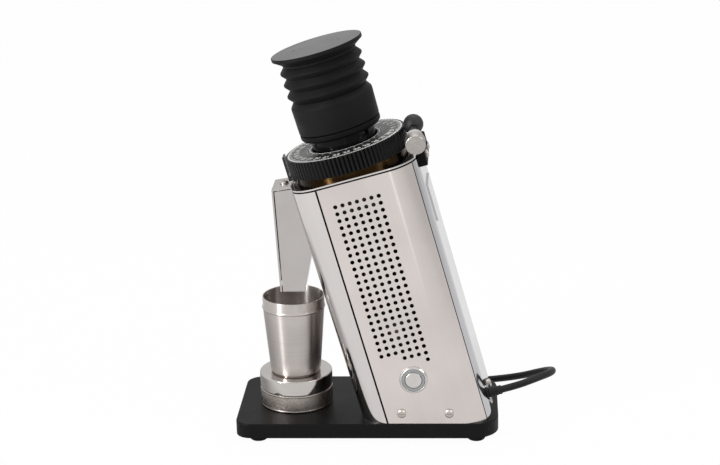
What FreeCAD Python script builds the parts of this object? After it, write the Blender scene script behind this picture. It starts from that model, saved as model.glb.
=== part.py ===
"""Burr coffee grinder on a base plate, with its cup, platform and mains lead.

Frame: +Z up, origin on the floor under the middle of the base plate, the chute
towards -X and the push button on the -Y side. Millimetres and degrees.
"""
import FreeCAD, Part
import math
import os
import re
import Sketcher

V = FreeCAD.Vector
Placement = FreeCAD.Placement
Rotation = FreeCAD.Rotation

doc = FreeCAD.newDocument("burr_grinder")
sheet = doc.addObject("Spreadsheet::Sheet", "sizes")

# Driving dimensions
SIZES = {
    # base
    "base_length": 236.0, "base_width": 114.0, "base_thick": 13.5, "base_corner": 14.0,
    "base_rear_corner": 24.0, "base_edge": 1.2,
    "foot_high": 6.0, "foot_radius": 8.0, "foot_taper": 1.0, "foot_inset": 20.0, "foot_side_inset": 14.0,
    "foot_screw_sink": 1.0,
    "foot_screw_radius": 2.0, "foot_screw_head": 3.5, "foot_screw_head_high": 2.5, "foot_screw_depth": 8.0,
    # leaning body
    "lean": 15.0, "axis_x": -16.1, "axis_z": 265.8,
    "body_front": 53.0, "body_rear": 60.5, "body_half": 55.5, "wall": 1.5,
    "front_corner": 24.0, "rear_corner": 25.0, "panel_front": 28.6, "panel_rear": 55.7,
    "front_seam": 1.6, "rear_seam": 0.6, "top_seam": 1.4,
    "top_plate_level": 21.1, "top_plate_thick": 1.3,
    "vent_pitch": 6.47, "vent_radius": 1.85, "vent_first_u": -17.2, "vent_first_w": -41.8,
    "vent_columns": 7, "vent_rows": 23,
    # panel and cover screws
    "screw_radius": 1.9, "screw_head": 4.0, "screw_head_high": 2.2, "screw_slot": 0.9, "screw_slot_deep": 1.0,
    "panel_screw_front_x": 31.8, "panel_screw_rear_x": 74.0, "panel_screw_z": 29.5, "screw_grip": 5.0,
    "rear_screw_half": 20.0, "rear_screw_w": -263.0, "rear_plate_half": 20.0, "rear_plate_thick": 1.2,
    "rear_plate_top": -53.0, "rear_plate_long": 34.0,
    # base bracket and board
    "bracket_front_x": 22.0, "bracket_rear_x": 84.0, "bracket_thick": 3.0, "tab_wide": 14.0, "tab_high": 18.0,
    "board_long": 56.0, "board_wide": 60.0, "board_thick": 1.6, "board_lift": 6.0, "standoff_radius": 3.0,
    "capacitor_radius": 8.0, "capacitor_high": 18.0, "relay_side": 16.0, "relay_high": 14.0,
    # chamber and motor
    "chamber_radius": 46.0, "chamber_bore": 38.3, "chamber_floor": 50.0, "chamber_base": 6.0,
    "motor_radius": 42.0, "stator_bore": 30.0, "motor_long": 104.0, "cap_thick": 6.0,
    "rotor_long": 84.0, "rotor_gap": 0.6, "shaft_radius": 6.0, "bearing_radius": 13.0,
    "low_bearing_radius": 11.0, "fan_radius": 36.0, "fan_hub": 10.0, "fan_thick": 8.0, "fan_blades": 9,
    "fan_blade_thick": 1.6,
    # burrs
    "burr_radius": 32.0, "burr_thick": 8.0, "burr_bore": 14.0, "burr_gap": 1.0, "burr_dish": 5.0,
    "low_carrier_radius": 36.0, "low_carrier_thick": 8.0, "carrier_radius": 37.7, "carrier_top": 6.0,
    "carrier_bottom": 22.0, "burr_screw_radius": 2.0, "burr_screw_circle": 24.0, "burr_screw_head": 3.5,
    # thread collar, ring and dial
    "collar_bore": 38.0, "collar_radius": 50.0, "collar_top": 7.0,
    "ring_radius": 54.5, "ring_high": 16.5, "ring_top": 3.5, "ring_bore": 30.0, "thread_gap": 0.4,
    "knurl_count": 90, "knurl_radius": 1.0, "knurl_out": 0.35, "dial_inner": 31.0, "dial_outer": 52.6,
    "dial_thick": 0.6,
    "index_gap": 1.0, "index_thick": 1.5, "index_half": 7.0, "index_over": 1.0,
    # hopper and bellows
    "neck_radius": 28.5, "neck_wall": 2.5, "neck_top": 38.0, "neck_flange": 35.0, "neck_flange_thick": 2.0,
    "seat_radius": 36.2, "seat_bottom": 9.6, "seat_top": 15.9, "seat_gap": 0.5, "seat_edge": 1.0,
    "boot_radius": 36.8, "boot_shoulder": 40.6, "boot_top": 46.0, "boot_fit": 0.3,
    "bellows_valley": 32.7, "bellows_crest": 36.9, "bellows_pitch": 10.55, "bellows_folds": 3,
    "bellows_wall": 1.8,
    "lid_radius": 40.8, "lid_thick": 4.6, "lid_neck": 33.0, "lid_neck_high": 6.6, "lid_edge": 1.0,
    # chute and its screw
    "chute_half": 17.0, "chute_wall": 1.5, "chute_inset": 0.6, "chute_seam": 0.9,
    "chute_front_x": -80.7, "chute_front_top_z": 225.8, "chute_foot_x": -76.3, "chute_foot_z": 131.0,
    "chute_top_w": -24.2, "chute_leave_w": -82.4, "chute_heel_x": -54.3,
    "throat_half": 12.0, "throat_low_w": -49.0, "throat_high_w": -33.0, "throat_wall": 2.0, "throat_lip": 1.0,
    "flap_thick": 0.8, "flap_gap": 0.3,
    # lock lever
    "ball_u": 63.1, "ball_v": -10.0, "ball_w": 0.3, "ball_radius": 8.85, "ball_bore": 3.55,
    "cam_u": 1.1, "cam_v": 0.87, "pin_radius": 3.0, "pin_fit": 0.05, "pin_over": 3.0,
    "handle_u": 63.6, "handle_v": -52.0, "handle_w": -8.7, "handle_radius": 8.9, "handle_end": 10.4,
    "handle_neck": 3.0, "handle_spigot": 2.5, "handle_root": 3.6, "handle_out": 8.6, "hub_edge": 0.6,
    "lock_half": 28.0, "lock_thick": 6.5, "lock_low_w": -34.0, "lock_high_w": -20.0,
    "boss_radius": 6.2, "boss_low_w": -20.2, "boss_high_w": -9.0, "lock_screw_half": 14.0,
    # push button
    "button_x": 42.8, "button_z": 61.6, "bezel_radius": 12.5, "bezel_high": 2.0, "barrel_radius": 10.9,
    "barrel_long": 24.0, "button_bore": 7.7, "light_radius": 10.2, "light_thick": 1.4, "cap_radius": 7.4,
    "cap_long": 12.0, "bezel_edge": 0.8, "cap_edge": 0.5, "nut_radius": 14.0, "nut_thick": 4.0,
    "switch_long": 14.0, "fit": 0.2,
    # platform and cup
    "cup_x": -66.6, "platform_radius": 33.2, "platform_level": 49.8, "platform_split": 35.4,
    "stem_radius": 15.0, "stem_gap": 1.0, "post_radius": 22.0, "post_high": 13.5, "turn_gap": 0.3,
    "platform_edge": 0.8, "cup_foot": 22.9, "cup_shoulder": 28.0, "cup_step": 28.8, "cup_rim": 28.1,
    "cup_high": 72.5, "cup_step_high": 62.5, "cup_wall": 1.0, "cup_floor": 1.5, "cup_heel": 1.5,
    "cup_bead": 1.0,
    # mains lead
    "cord_radius": 3.25, "cord_first": 15.0, "cord_last": 55.0,
    "gland_v": -28.0, "gland_z": 37.4, "gland_flange": 5.6, "gland_flange_thick": 1.2,
    "gland_root": 4.6, "gland_tip": 3.9, "gland_long": 14.0,
    "coil_x": 31.0, "coil_y": 125.0, "coil_outer": 45.0, "coil_pitch": 7.4, "coil_turns": 2.5,
    "coil_lift": 1.6, "tie_thick": 1.2, "tie_wide": 10.0, "tie_gap": 0.3,
    "plug_body_long": 30.0, "plug_body_radius": 9.5, "plug_neck_long": 15.0, "plug_pin_long": 18.0,
    "plug_swell": 2.0, "plug_shoulder": 4.0, "plug_pin_radius": 2.3, "plug_pin_half": 6.0,
}

for row_number, (alias, number) in enumerate(SIZES.items(), start=1):
    sheet.set("A%d" % row_number, alias)
    sheet.set("B%d" % row_number, str(number))
    sheet.setAlias("B%d" % row_number, alias)
doc.recompute()


def size(alias):
    """A driving dimension, read from the sheet."""
    return float(sheet.get(alias))


def formula(text):
    """The expression with each alias pointed at the sheet."""
    return re.sub(r"[a-z_]+",
                  lambda word: "sizes." + word.group() if word.group() in SIZES else word.group(), text)


def value(text):
    """The number that an expression over the aliases gives now."""
    if not isinstance(text, str):
        return float(text)
    return float(sheet.evalExpression(formula(text)))


def bind(item, field, text):
    """Tie a property of a document object to an expression over the aliases."""
    if isinstance(text, str):
        item.setExpression(field, formula(text))
    else:
        setattr(item, field, text)


# Frames: the floor, and the leaning body whose axis is the ring's own
UPRIGHT = Placement()
LEANING = Placement(V(size("axis_x"), 0, size("axis_z")), Rotation(V(0, 1, 0), -size("lean")))
ALONG_U = Rotation(V(0, 1, 0), 90)
TOWARDS_VIEWER = Rotation(V(1, 0, 0), 90)
AWAY = Rotation(V(1, 0, 0), -90)
UPWARD = Rotation()


def place(frame, where, turn=UPWARD):
    """A placement at a point of a frame, with the piece turned in that frame."""
    return frame.multiply(Placement(V(*[value(part) for part in where]), turn))


def origin_plane(body, role):
    """One of a body's own origin planes."""
    for feature in body.Origin.OriginFeatures:
        if feature.Role == role:
            return feature


def polygon(body, name, role, points):
    """A closed sketch of straight lines whose corners are tied to expressions."""
    sketch = body.newObject("Sketcher::SketchObject", name)
    sketch.AttachmentSupport = (origin_plane(body, role), [""])
    sketch.MapMode = "FlatFace"
    corners = [V(value(first), value(second), 0) for first, second in points]
    count = len(corners)
    lines = [Part.LineSegment(corners[i], corners[(i + 1) % count]) for i in range(count)]
    sketch.addGeometry(lines, False)
    joints = [Sketcher.Constraint("Coincident", i, 2, (i + 1) % count, 1) for i in range(count)]
    sketch.addConstraint(joints)
    for i, corner in enumerate(points):
        for kind, axis, text, number in (("DistanceX", -2, corner[0], corners[i].x),
                                         ("DistanceY", -1, corner[1], corners[i].y)):
            if abs(number) < 1e-9:
                sketch.addConstraint(Sketcher.Constraint("PointOnObject", i, 1, axis))
                continue
            index = sketch.addConstraint(Sketcher.Constraint(kind, -1, 1, i, 1, number))
            if isinstance(text, str):
                sketch.setExpression("Constraints[%d]" % index, formula(text))
    return sketch


def turned(label, profile, placement=UPRIGHT):
    """A round piece: a profile of (radius, height) corners revolved about its axis."""
    body = doc.addObject("PartDesign::Body", label)
    sketch = polygon(body, label + "_profile", "XZ_Plane", profile)
    turn = body.newObject("PartDesign::Revolution", label + "_turn")
    turn.Profile = sketch
    turn.ReferenceAxis = (sketch, ["V_Axis"])
    turn.Angle = 360
    body.Placement = placement
    return body


def prism(label, outline, width, placement=UPRIGHT):
    """A flat piece: an (x, z) outline padded to both sides of the middle plane."""
    body = doc.addObject("PartDesign::Body", label)
    sketch = polygon(body, label + "_outline", "XZ_Plane", outline)
    pad = body.newObject("PartDesign::Pad", label + "_pad")
    pad.Profile = sketch
    pad.SideType = "Symmetric"
    bind(pad, "Length", width)
    body.Placement = placement
    return body


def block(label, low, high, frame=UPRIGHT):
    """A box between two corners of a frame, each side tied to its expressions."""
    box = doc.addObject("Part::Box", label)
    for field, first, last in zip(("Length", "Width", "Height"), low, high):
        bind(box, field, "(%s) - (%s)" % (last, first))
    box.Placement = place(frame, low)
    return box


def rod(label, radius, length, placement):
    """A plain cylinder along its placement's own axis."""
    cylinder = doc.addObject("Part::Cylinder", label)
    bind(cylinder, "Radius", radius)
    bind(cylinder, "Height", length)
    cylinder.Placement = placement
    return cylinder


def cut(label, base, *tools):
    """The base with each tool taken away in turn."""
    for number, tool in enumerate(tools):
        name = label if number == len(tools) - 1 else "%s_step%d" % (label, number)
        step = doc.addObject("Part::Cut", name)
        step.Base = base
        step.Tool = tool
        base = step
    return base


def common(label, base, tool):
    """What two pieces share."""
    overlap = doc.addObject("Part::Common", label)
    overlap.Base = base
    overlap.Tool = tool
    return overlap


def fused(label, *pieces):
    """Several solids as one."""
    union = doc.addObject("Part::MultiFuse", label)
    union.Shapes = list(pieces)
    union.Refine = True
    return union


def grouped(label, *pieces):
    """Several separate solids in one node."""
    group = doc.addObject("Part::Compound", label)
    group.Links = list(pieces)
    return group


def made(label, shape, placement=UPRIGHT):
    """A shape worked out here, where no sketch or primitive fits."""
    piece = doc.addObject("Part::Feature", label)
    piece.Shape = shape
    piece.Placement = placement
    return piece


def rounded_block(label, low, high, radii, frame=UPRIGHT):
    """A box whose upright edges are rounded, front pair and rear pair by their own radius."""
    box = block(label + "_block", low, high, frame)
    doc.recompute()
    inverse = frame.inverse()
    middle = (value(low[0]) + value(high[0])) / 2
    edges = []
    for number, edge in enumerate(box.Shape.Edges, start=1):
        start, end = [inverse.multVec(vertex.Point) for vertex in edge.Vertexes]
        if abs(start.x - end.x) < 1e-6 and abs(start.y - end.y) < 1e-6:
            radius = radii[0] if start.x < middle else radii[1]
            edges.append((number, radius, radius))
    fillet = doc.addObject("Part::Fillet", label)
    fillet.Base = box
    fillet.Edges = edges
    return fillet


NODES = []


def node(piece):
    """Keep a piece as a sub-part of the object."""
    piece.Label = piece.Name
    NODES.append(piece)
    return piece


def screw(label, placement, radius, long, head, head_high, slotted=True):
    """A pan-head screw: shank along -Z under a head whose seat is at Z 0, with a cross recess."""
    profile = [("0", "-(%s)" % long), (radius, "-(%s)" % long), (radius, "0"), (head, "0"),
               (head, "(%s)*0.5" % head_high), ("(%s)*0.7" % head, head_high), ("0", head_high)]
    body = turned(label + "_turned", profile, placement)
    if not slotted:
        return body
    half = "(%s)*0.55" % head
    low = "(%s) - screw_slot_deep" % head_high
    first = block(label + "_slot_a", ("-(%s)" % half, "-screw_slot/2", low),
                  (half, "screw_slot/2", head_high), placement)
    second = block(label + "_slot_b", ("-screw_slot/2", "-(%s)" % half, low),
                   ("screw_slot/2", half, head_high), placement)
    return cut(label, body, first, second)


# Base plate, feet and their screws
base_bottom = "foot_high"
base_top = "foot_high + base_thick"
plate = rounded_block("base_round", ("-base_length/2", "-base_width/2", base_bottom),
                      ("base_length/2", "base_width/2", base_top),
                      (size("base_corner"), size("base_rear_corner")))
doc.recompute()
rim_edges = [(number, size("base_edge"), size("base_edge"))
             for number, edge in enumerate(plate.Shape.Edges, start=1)
             if all(abs(vertex.Z - value(base_top)) < 1e-6 for vertex in edge.Vertexes)]
eased = doc.addObject("Part::Fillet", "base_eased")
eased.Base = plate
eased.Edges = rim_edges

foot_spots = [(sx * (size("base_length") / 2 - size("foot_inset")),
               sy * (size("base_width") / 2 - size("foot_side_inset")))
              for sx in (-1, 1) for sy in (-1, 1)]
feet = []
foot_screws = []
foot_holes = []
for number, (x, y) in enumerate(foot_spots):
    foot_profile = [("foot_screw_radius + fit", "foot_screw_head_high + foot_screw_sink"),
                    ("foot_screw_head + fit", "foot_screw_head_high + foot_screw_sink"),
                    ("foot_screw_head + fit", "0"), ("foot_radius - foot_taper", "0"),
                    ("foot_radius", "foot_taper"), ("foot_radius", "foot_high"),
                    ("foot_screw_radius + fit", "foot_high")]
    feet.append(turned("foot_%d" % number, foot_profile, place(UPRIGHT, (x, y, 0))))
    upside = place(UPRIGHT, (x, y, "foot_screw_head_high + foot_screw_sink"), Rotation(V(1, 0, 0), 180))
    foot_screws.append(screw("foot_screw_%d" % number, upside, "foot_screw_radius",
                             "foot_high - foot_screw_head_high - foot_screw_sink + foot_screw_depth",
                             "foot_screw_head",
                             "foot_screw_head_high", slotted=False))
    foot_holes.append(rod("foot_hole_%d" % number, "foot_screw_radius + fit", "foot_screw_depth + fit",
                          place(UPRIGHT, (x, y, base_bottom))))
node(cut("base_plate", eased, grouped("foot_hole_group", *foot_holes)))
node(grouped("rubber_feet", *feet))
node(grouped("foot_screws", *foot_screws))

# Leaning shell: one rounded tube, trimmed on the base plate and split along its seams
shell_top = "-(top_plate_level + top_plate_thick + top_seam)"
shell_low = "-(axis_z + body_front)"
outer = rounded_block("shell_outer", ("-body_front", "-body_half", shell_low),
                      ("body_rear", "body_half", shell_top), (size("front_corner"), size("rear_corner")),
                      LEANING)
inner = rounded_block("shell_inner", ("wall - body_front", "wall - body_half", shell_low + " - wall"),
                      ("body_rear - wall", "body_half - wall", shell_top + " + wall"),
                      (value("front_corner - wall"), value("rear_corner - wall")), LEANING)
under = block("under_base", ("-3*base_length", "-base_width", "-axis_z"),
              ("3*base_length", "base_width", base_top))
tube = cut("shell_tube", outer, inner, under)

front_zone = block("front_zone", ("-2*body_front", "-2*body_half", shell_low + " - 2*wall"),
                   ("-panel_front - front_seam", "2*body_half", "0"), LEANING)
rear_zone = block("rear_zone", ("panel_rear + rear_seam", "-2*body_half", shell_low + " - 2*wall"),
                  ("2*body_rear", "2*body_half", "0"), LEANING)
near_zone = block("near_zone", ("-panel_front", "-2*body_half", shell_low + " - 2*wall"),
                  ("panel_rear", "-wall", "0"), LEANING)
far_zone = block("far_zone", ("-panel_front", "wall", shell_low + " - 2*wall"),
                 ("panel_rear", "2*body_half", "0"), LEANING)

throat_hole = block("throat_hole", ("-2*body_front", "-throat_half - throat_wall - fit",
                                    "throat_low_w - throat_wall - fit"),
                    ("-panel_front", "throat_half + throat_wall + fit", "throat_high_w + throat_wall + fit"),
                    LEANING)
node(cut("front_cover", common("front_shell", tube, front_zone), throat_hole))


def vent_tools(side):
    """One drill for each vent of a side panel: full rows, then a short corner cut level."""
    columns = int(size("vent_columns"))
    rows = int(size("vent_rows"))
    last = columns - 1
    spots = [(column, row) for row in range(rows) for column in range(columns)]
    spots += [(column, rows) for column in range(columns // 2, columns)]
    spots.append((last, rows + 1))
    drills = []
    depth = 8 * size("wall")
    start = side * (size("body_half") + depth / 2)
    for column, row in spots:
        spot = V(size("vent_first_u") + column * size("vent_pitch"), start,
                 size("vent_first_w") - row * size("vent_pitch"))
        drills.append(Part.makeCylinder(size("vent_radius"), depth, spot, V(0, -side, 0)))
    return Part.makeCompound(drills)


panel_screw_xs = ("panel_screw_front_x", "panel_screw_rear_x")
pan_screws = []
for name, side, zone in (("near", -1, near_zone), ("far", 1, far_zone)):
    drills = [made("vent_drills_" + name, vent_tools(side), LEANING)]
    facing = TOWARDS_VIEWER if side < 0 else AWAY
    for number, x in enumerate(panel_screw_xs):
        spot = (x, "%d*body_half" % side, "panel_screw_z")
        drills.append(rod("panel_hole_%s_%d" % (name, number), "screw_radius + fit", "8*wall",
                          place(UPRIGHT, (x, "%d*(body_half - 4*wall)" % side, "panel_screw_z"), facing)))
        pan_screws.append(screw("panel_screw_%s_%d" % (name, number), place(UPRIGHT, spot, facing),
                                "screw_radius", "screw_grip", "screw_head", "screw_head_high"))
    if side < 0:
        drills.append(rod("button_hole", "barrel_radius + fit", "8*wall",
                          place(UPRIGHT, ("button_x", "4*wall - body_half", "button_z"), facing)))
    node(cut("side_panel_" + name, common("panel_shell_" + name, tube, zone),
             grouped("panel_drills_" + name, *drills)))

rear_drills = []
for number, side in enumerate((-1, 1)):
    spot = ("body_rear", "%d*rear_screw_half" % side, "rear_screw_w")
    pan_screws.append(screw("rear_screw_%d" % number, place(LEANING, spot, ALONG_U), "screw_radius",
                            "screw_grip", "screw_head", "screw_head_high"))
    rear_drills.append(rod("rear_hole_%d" % number, "screw_radius + fit", "8*wall",
                           place(LEANING, ("body_rear - 4*wall", spot[1], "rear_screw_w"), ALONG_U)))

# The lead leaves the rear cover square to it
lean_angle = math.radians(size("lean"))
gland_w = (size("gland_z") - size("axis_z") - size("body_rear") * math.sin(lean_angle)) / math.cos(lean_angle)
rear_drills.append(rod("gland_hole", "gland_root + fit", "8*wall",
                       place(LEANING, ("body_rear - 4*wall", "gland_v", gland_w), ALONG_U)))
node(cut("rear_cover", common("rear_shell", tube, rear_zone), grouped("rear_drill_group", *rear_drills)))
node(block("rear_plate", ("body_rear", "-rear_plate_half", "rear_plate_top - rear_plate_long"),
           ("body_rear + rear_plate_thick", "rear_plate_half", "rear_plate_top"), LEANING))

# Top plate with the chamber's bore
deck = rounded_block("deck_round", ("-body_front", "-body_half", "-top_plate_level - top_plate_thick"),
                     ("body_rear", "body_half", "-top_plate_level"),
                     (size("front_corner"), size("rear_corner")), LEANING)
deck_bore = rod("deck_bore", "chamber_bore", "3*top_plate_thick",
                place(LEANING, (0, 0, "-top_plate_level - 2*top_plate_thick")))
node(cut("top_plate", deck, deck_bore))

# Base bracket, control board and what stands on it
bracket_top = base_top + " + bracket_thick"
bracket_half = "body_half - wall - fit"
tabs = [block("bracket_sheet", ("bracket_front_x", "-(%s)" % bracket_half, base_top),
              ("bracket_rear_x", bracket_half, bracket_top))]
tab_drills = []
for name, side in (("near", -1), ("far", 1)):
    for number, x in enumerate(panel_screw_xs):
        edges = sorted((side * value(bracket_half), side * (value(bracket_half) - size("bracket_thick"))))
        tabs.append(block("tab_%s_%d" % (name, number), (x + " - tab_wide/2", edges[0], base_top),
                          (x + " + tab_wide/2", edges[1], base_top + " + tab_high")))
        tab_drills.append(rod("tab_hole_%s_%d" % (name, number), "screw_radius + fit", "2*screw_grip",
                              place(UPRIGHT, (x, side * (value(bracket_half) - size("screw_grip")),
                                              "panel_screw_z"),
                                    TOWARDS_VIEWER if side < 0 else AWAY)))
node(cut("base_bracket", fused("bracket_blank", *tabs), grouped("tab_drills", *tab_drills)))

board_x = "(bracket_front_x + bracket_rear_x)/2"
board_low = bracket_top + " + board_lift"
posts = [rod("standoff_%d" % number, "standoff_radius", "board_lift",
             place(UPRIGHT, (value(board_x) + sx * (size("board_long") / 2 - 2 * size("standoff_radius")),
                             sy * (size("board_wide") / 2 - 2 * size("standoff_radius")), bracket_top)))
         for number, (sx, sy) in enumerate(((-1, -1), (-1, 1), (1, -1), (1, 1)))]
node(grouped("board_standoffs", *posts))
node(block("control_board", (board_x + " - board_long/2", "-board_wide/2", board_low),
           (board_x + " + board_long/2", "board_wide/2", board_low + " + board_thick")))
board_top = board_low + " + board_thick"
capacitor = rod("capacitor", "capacitor_radius", "capacitor_high",
                place(UPRIGHT, (board_x, "-board_wide/4", board_top)))
relay = block("relay", (board_x + " - relay_side/2", "board_wide/4 - relay_side/2", board_top),
              (board_x + " + relay_side/2", "board_wide/4 + relay_side/2", board_top + " + relay_high"))
node(grouped("board_parts", capacitor, relay))

# Grinding chamber, outlet throat and flap
chamber_low = "chamber_floor + chamber_base"
deck_under = "top_plate_level + top_plate_thick"
chamber_cup = turned("chamber_cup",
                     [("bearing_radius + pin_fit", "0"), ("chamber_radius", "0"),
                      ("chamber_radius", chamber_low + " - (" + deck_under + ")"),
                      ("chamber_bore", chamber_low + " - (" + deck_under + ")"),
                      ("chamber_bore", "chamber_base"), ("bearing_radius + pin_fit", "chamber_base")],
                     place(LEANING, (0, 0, "-(%s)" % chamber_low)))
port = block("chamber_port", ("-2*chamber_radius", "-throat_half", "throat_low_w"),
             ("-burr_bore", "throat_half", "throat_high_w"), LEANING)
node(cut("grinding_chamber", chamber_cup, port))
throat_sleeve = block("throat_sleeve", ("-body_front - throat_lip", "-throat_half - throat_wall",
                                        "throat_low_w - throat_wall"),
                      ("-chamber_bore", "throat_half + throat_wall", "throat_high_w + throat_wall"), LEANING)
throat_bore = block("throat_bore", ("-2*body_front", "-throat_half", "throat_low_w"),
                    ("0", "throat_half", "throat_high_w"), LEANING)
throat_seat = rod("throat_seat", "chamber_radius + pin_fit", "2*chamber_floor",
                  place(LEANING, (0, 0, "-2*chamber_floor")))
node(cut("outlet_throat", throat_sleeve, throat_bore, throat_seat))
flap_rear = "-body_front - throat_lip - flap_gap"
node(block("chute_flap", (flap_rear + " - flap_thick", "-throat_half", "throat_low_w"),
           (flap_rear, "throat_half", "throat_high_w + throat_wall"), LEANING))

# Motor: can, end cap, bearings, rotor on its shaft, fan
motor_low = chamber_low + " + motor_long"
node(turned("motor_can", [("stator_bore", "0"), ("motor_radius", "0"), ("motor_radius", "motor_long"),
                          ("stator_bore", "motor_long")], place(LEANING, (0, 0, "-(%s)" % motor_low))))
node(turned("motor_end_cap", [("low_bearing_radius + pin_fit", "0"), ("motor_radius", "0"),
                              ("motor_radius", "cap_thick"), ("low_bearing_radius + pin_fit", "cap_thick")],
            place(LEANING, (0, 0, "-(%s + cap_thick)" % motor_low))))
for label, radius, thick, low in (("upper_bearing", "bearing_radius", "chamber_base", chamber_low),
                                  ("lower_bearing", "low_bearing_radius", "cap_thick",
                                   motor_low + " + cap_thick")):
    node(turned(label, [("shaft_radius + pin_fit", "0"), (radius, "0"), (radius, thick),
                        ("shaft_radius + pin_fit", thick)], place(LEANING, (0, 0, "-(%s)" % low))))
lower_burr_top = "carrier_bottom + burr_thick + burr_gap"
lower_burr_low = lower_burr_top + " + burr_thick"
lower_carrier_low = lower_burr_low + " + low_carrier_thick"
fan_top = motor_low + " + cap_thick + turn_gap"
fan_low = fan_top + " + fan_thick"
rotor_mid = chamber_low + " + motor_long/2"
shaft_end = fan_low
node(turned("rotor_shaft", [("0", "0"), ("shaft_radius", "0"),
                            ("shaft_radius", "(%s) - (%s) - rotor_long/2" % (shaft_end, rotor_mid)),
                            ("stator_bore - rotor_gap",
                             "(%s) - (%s) - rotor_long/2" % (shaft_end, rotor_mid)),
                            ("stator_bore - rotor_gap",
                             "(%s) - (%s) + rotor_long/2" % (shaft_end, rotor_mid)),
                            ("shaft_radius", "(%s) - (%s) + rotor_long/2" % (shaft_end, rotor_mid)),
                            ("shaft_radius", "(%s) - (%s)" % (shaft_end, lower_burr_low)),
                            ("0", "(%s) - (%s)" % (shaft_end, lower_burr_low))],
            place(LEANING, (0, 0, "-(%s)" % shaft_end))))
hub = turned("fan_hub_round", [("shaft_radius + pin_fit", "0"), ("fan_hub", "0"), ("fan_hub", "fan_thick"),
                               ("shaft_radius + pin_fit", "fan_thick")],
             place(LEANING, (0, 0, "-(%s)" % fan_low)))
blades = []
for number in range(int(size("fan_blades"))):
    blade = block("fan_blade_%d" % number, ("fan_hub - fan_blade_thick", "-fan_blade_thick/2", 0),
                  ("fan_radius", "fan_blade_thick/2", "fan_thick"))
    spin = Rotation(V(0, 0, 1), 360 * number / int(size("fan_blades")))
    blade.Placement = place(LEANING, (0, 0, "-(%s)" % fan_low),
                            spin).multiply(place(UPRIGHT,
                                                 ("fan_hub - fan_blade_thick", "-fan_blade_thick/2", 0)))
    blades.append(blade)
node(fused("motor_fan", hub, *blades))

# Lower burr on its carrier, upper burr on its own
lower_blank = turned("lower_carrier_round",
                     [("shaft_radius + pin_fit", "0"), ("low_carrier_radius", "0"),
                      ("low_carrier_radius", "low_carrier_thick"),
                      ("shaft_radius + pin_fit", "low_carrier_thick")],
                     place(LEANING, (0, 0, "-(%s)" % lower_carrier_low)))
burr_profile = [("burr_bore", "0"), ("burr_radius", "0"), ("burr_radius", "burr_thick"),
                ("burr_radius - burr_dish", "burr_thick"), ("burr_bore", "burr_thick/2")]
lower_burr_blank = turned("lower_burr_round", burr_profile, place(LEANING, (0, 0, "-(%s)" % lower_burr_low)))
upside_down = Rotation(V(1, 0, 0), 180)
upper_burr_blank = turned("upper_burr_round", burr_profile,
                          place(LEANING, (0, 0, "-carrier_bottom"), upside_down))
upper_blank = turned("upper_carrier_round",
                     [("burr_bore", "0"), ("carrier_radius", "0"),
                      ("carrier_radius", "carrier_bottom - carrier_top"),
                      ("neck_radius - neck_wall", "carrier_bottom - carrier_top")],
                     place(LEANING, (0, 0, "-carrier_bottom")))
screw_sets = {}
for label, seat, turn, carrier, burr in (
        ("lower_burr_screws", "-(%s) + burr_thick/2" % lower_burr_low, UPWARD, lower_blank, lower_burr_blank),
        ("upper_burr_screws", "-carrier_bottom - burr_thick/2", upside_down, upper_blank, upper_burr_blank)):
    screws = []
    bores = []
    for number in range(3):
        angle = math.radians(120 * number)
        spot = (size("burr_screw_circle") * math.cos(angle), size("burr_screw_circle") * math.sin(angle),
                seat)
        screws.append(screw("%s_%d" % (label, number), place(LEANING, spot, turn), "burr_screw_radius",
                            "burr_thick", "burr_screw_head", "burr_thick/4", slotted=False))
        bores.append(turned("%s_bore_%d" % (label, number),
                            [("0", "-burr_thick - fit"), ("burr_screw_radius + fit", "-burr_thick - fit"),
                             ("burr_screw_radius + fit", "0"), ("burr_screw_head + fit", "0"),
                             ("burr_screw_head + fit", "burr_thick"), ("0", "burr_thick")],
                            place(LEANING, spot, turn)))
    screw_sets[label] = (grouped(label, *screws), grouped(label + "_bores", *bores), carrier, burr)
for label, carrier_name, burr_name in (("lower_burr_screws", "lower_burr_carrier", "lower_burr"),
                                       ("upper_burr_screws", "upper_burr_carrier", "upper_burr")):
    screws, bores, carrier, burr = screw_sets[label]
    node(cut(carrier_name, carrier, bores))
    node(cut(burr_name, burr, bores))
    node(screws)
node(turned("spindle_bolt", [("0", "0"), ("burr_bore - burr_gap", "0"),
                             ("burr_bore - burr_gap", "burr_thick/4"), ("shaft_radius", "burr_thick/2"),
                             ("0", "burr_thick/2")], place(LEANING, (0, 0, "-(%s)" % lower_burr_low))))

# Thread collar, adjusting ring, dial and index plate
node(turned("thread_collar", [("collar_bore", "0"), ("collar_radius", "0"),
                              ("collar_radius", "top_plate_level - collar_top"),
                              ("collar_bore", "top_plate_level - collar_top")],
            place(LEANING, (0, 0, "-top_plate_level"))))
ring_blank = turned("ring_blank", [("ring_bore", "ring_high - ring_top"),
                                   ("collar_radius + thread_gap", "ring_high - ring_top"),
                                   ("collar_radius + thread_gap", "0"), ("ring_radius", "0"),
                                   ("ring_radius", "ring_high"), ("dial_outer", "ring_high"),
                                   ("dial_outer", "ring_high - dial_thick"),
                                   ("dial_inner", "ring_high - dial_thick"), ("dial_inner", "ring_high"),
                                   ("ring_bore", "ring_high")], place(LEANING, (0, 0, "-ring_high")))
grooves = []
for number in range(int(size("knurl_count"))):
    angle = 2 * math.pi * number / int(size("knurl_count"))
    reach = size("ring_radius") + size("knurl_out")
    spot = V(reach * math.cos(angle), reach * math.sin(angle), -1)
    grooves.append(Part.makeCylinder(size("knurl_radius"), size("ring_high") + 2, spot))
groove_tool = made("groove_tool", Part.makeCompound(grooves), place(LEANING, (0, 0, "-ring_high")))
node(cut("adjusting_ring", ring_blank, groove_tool))
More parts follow.
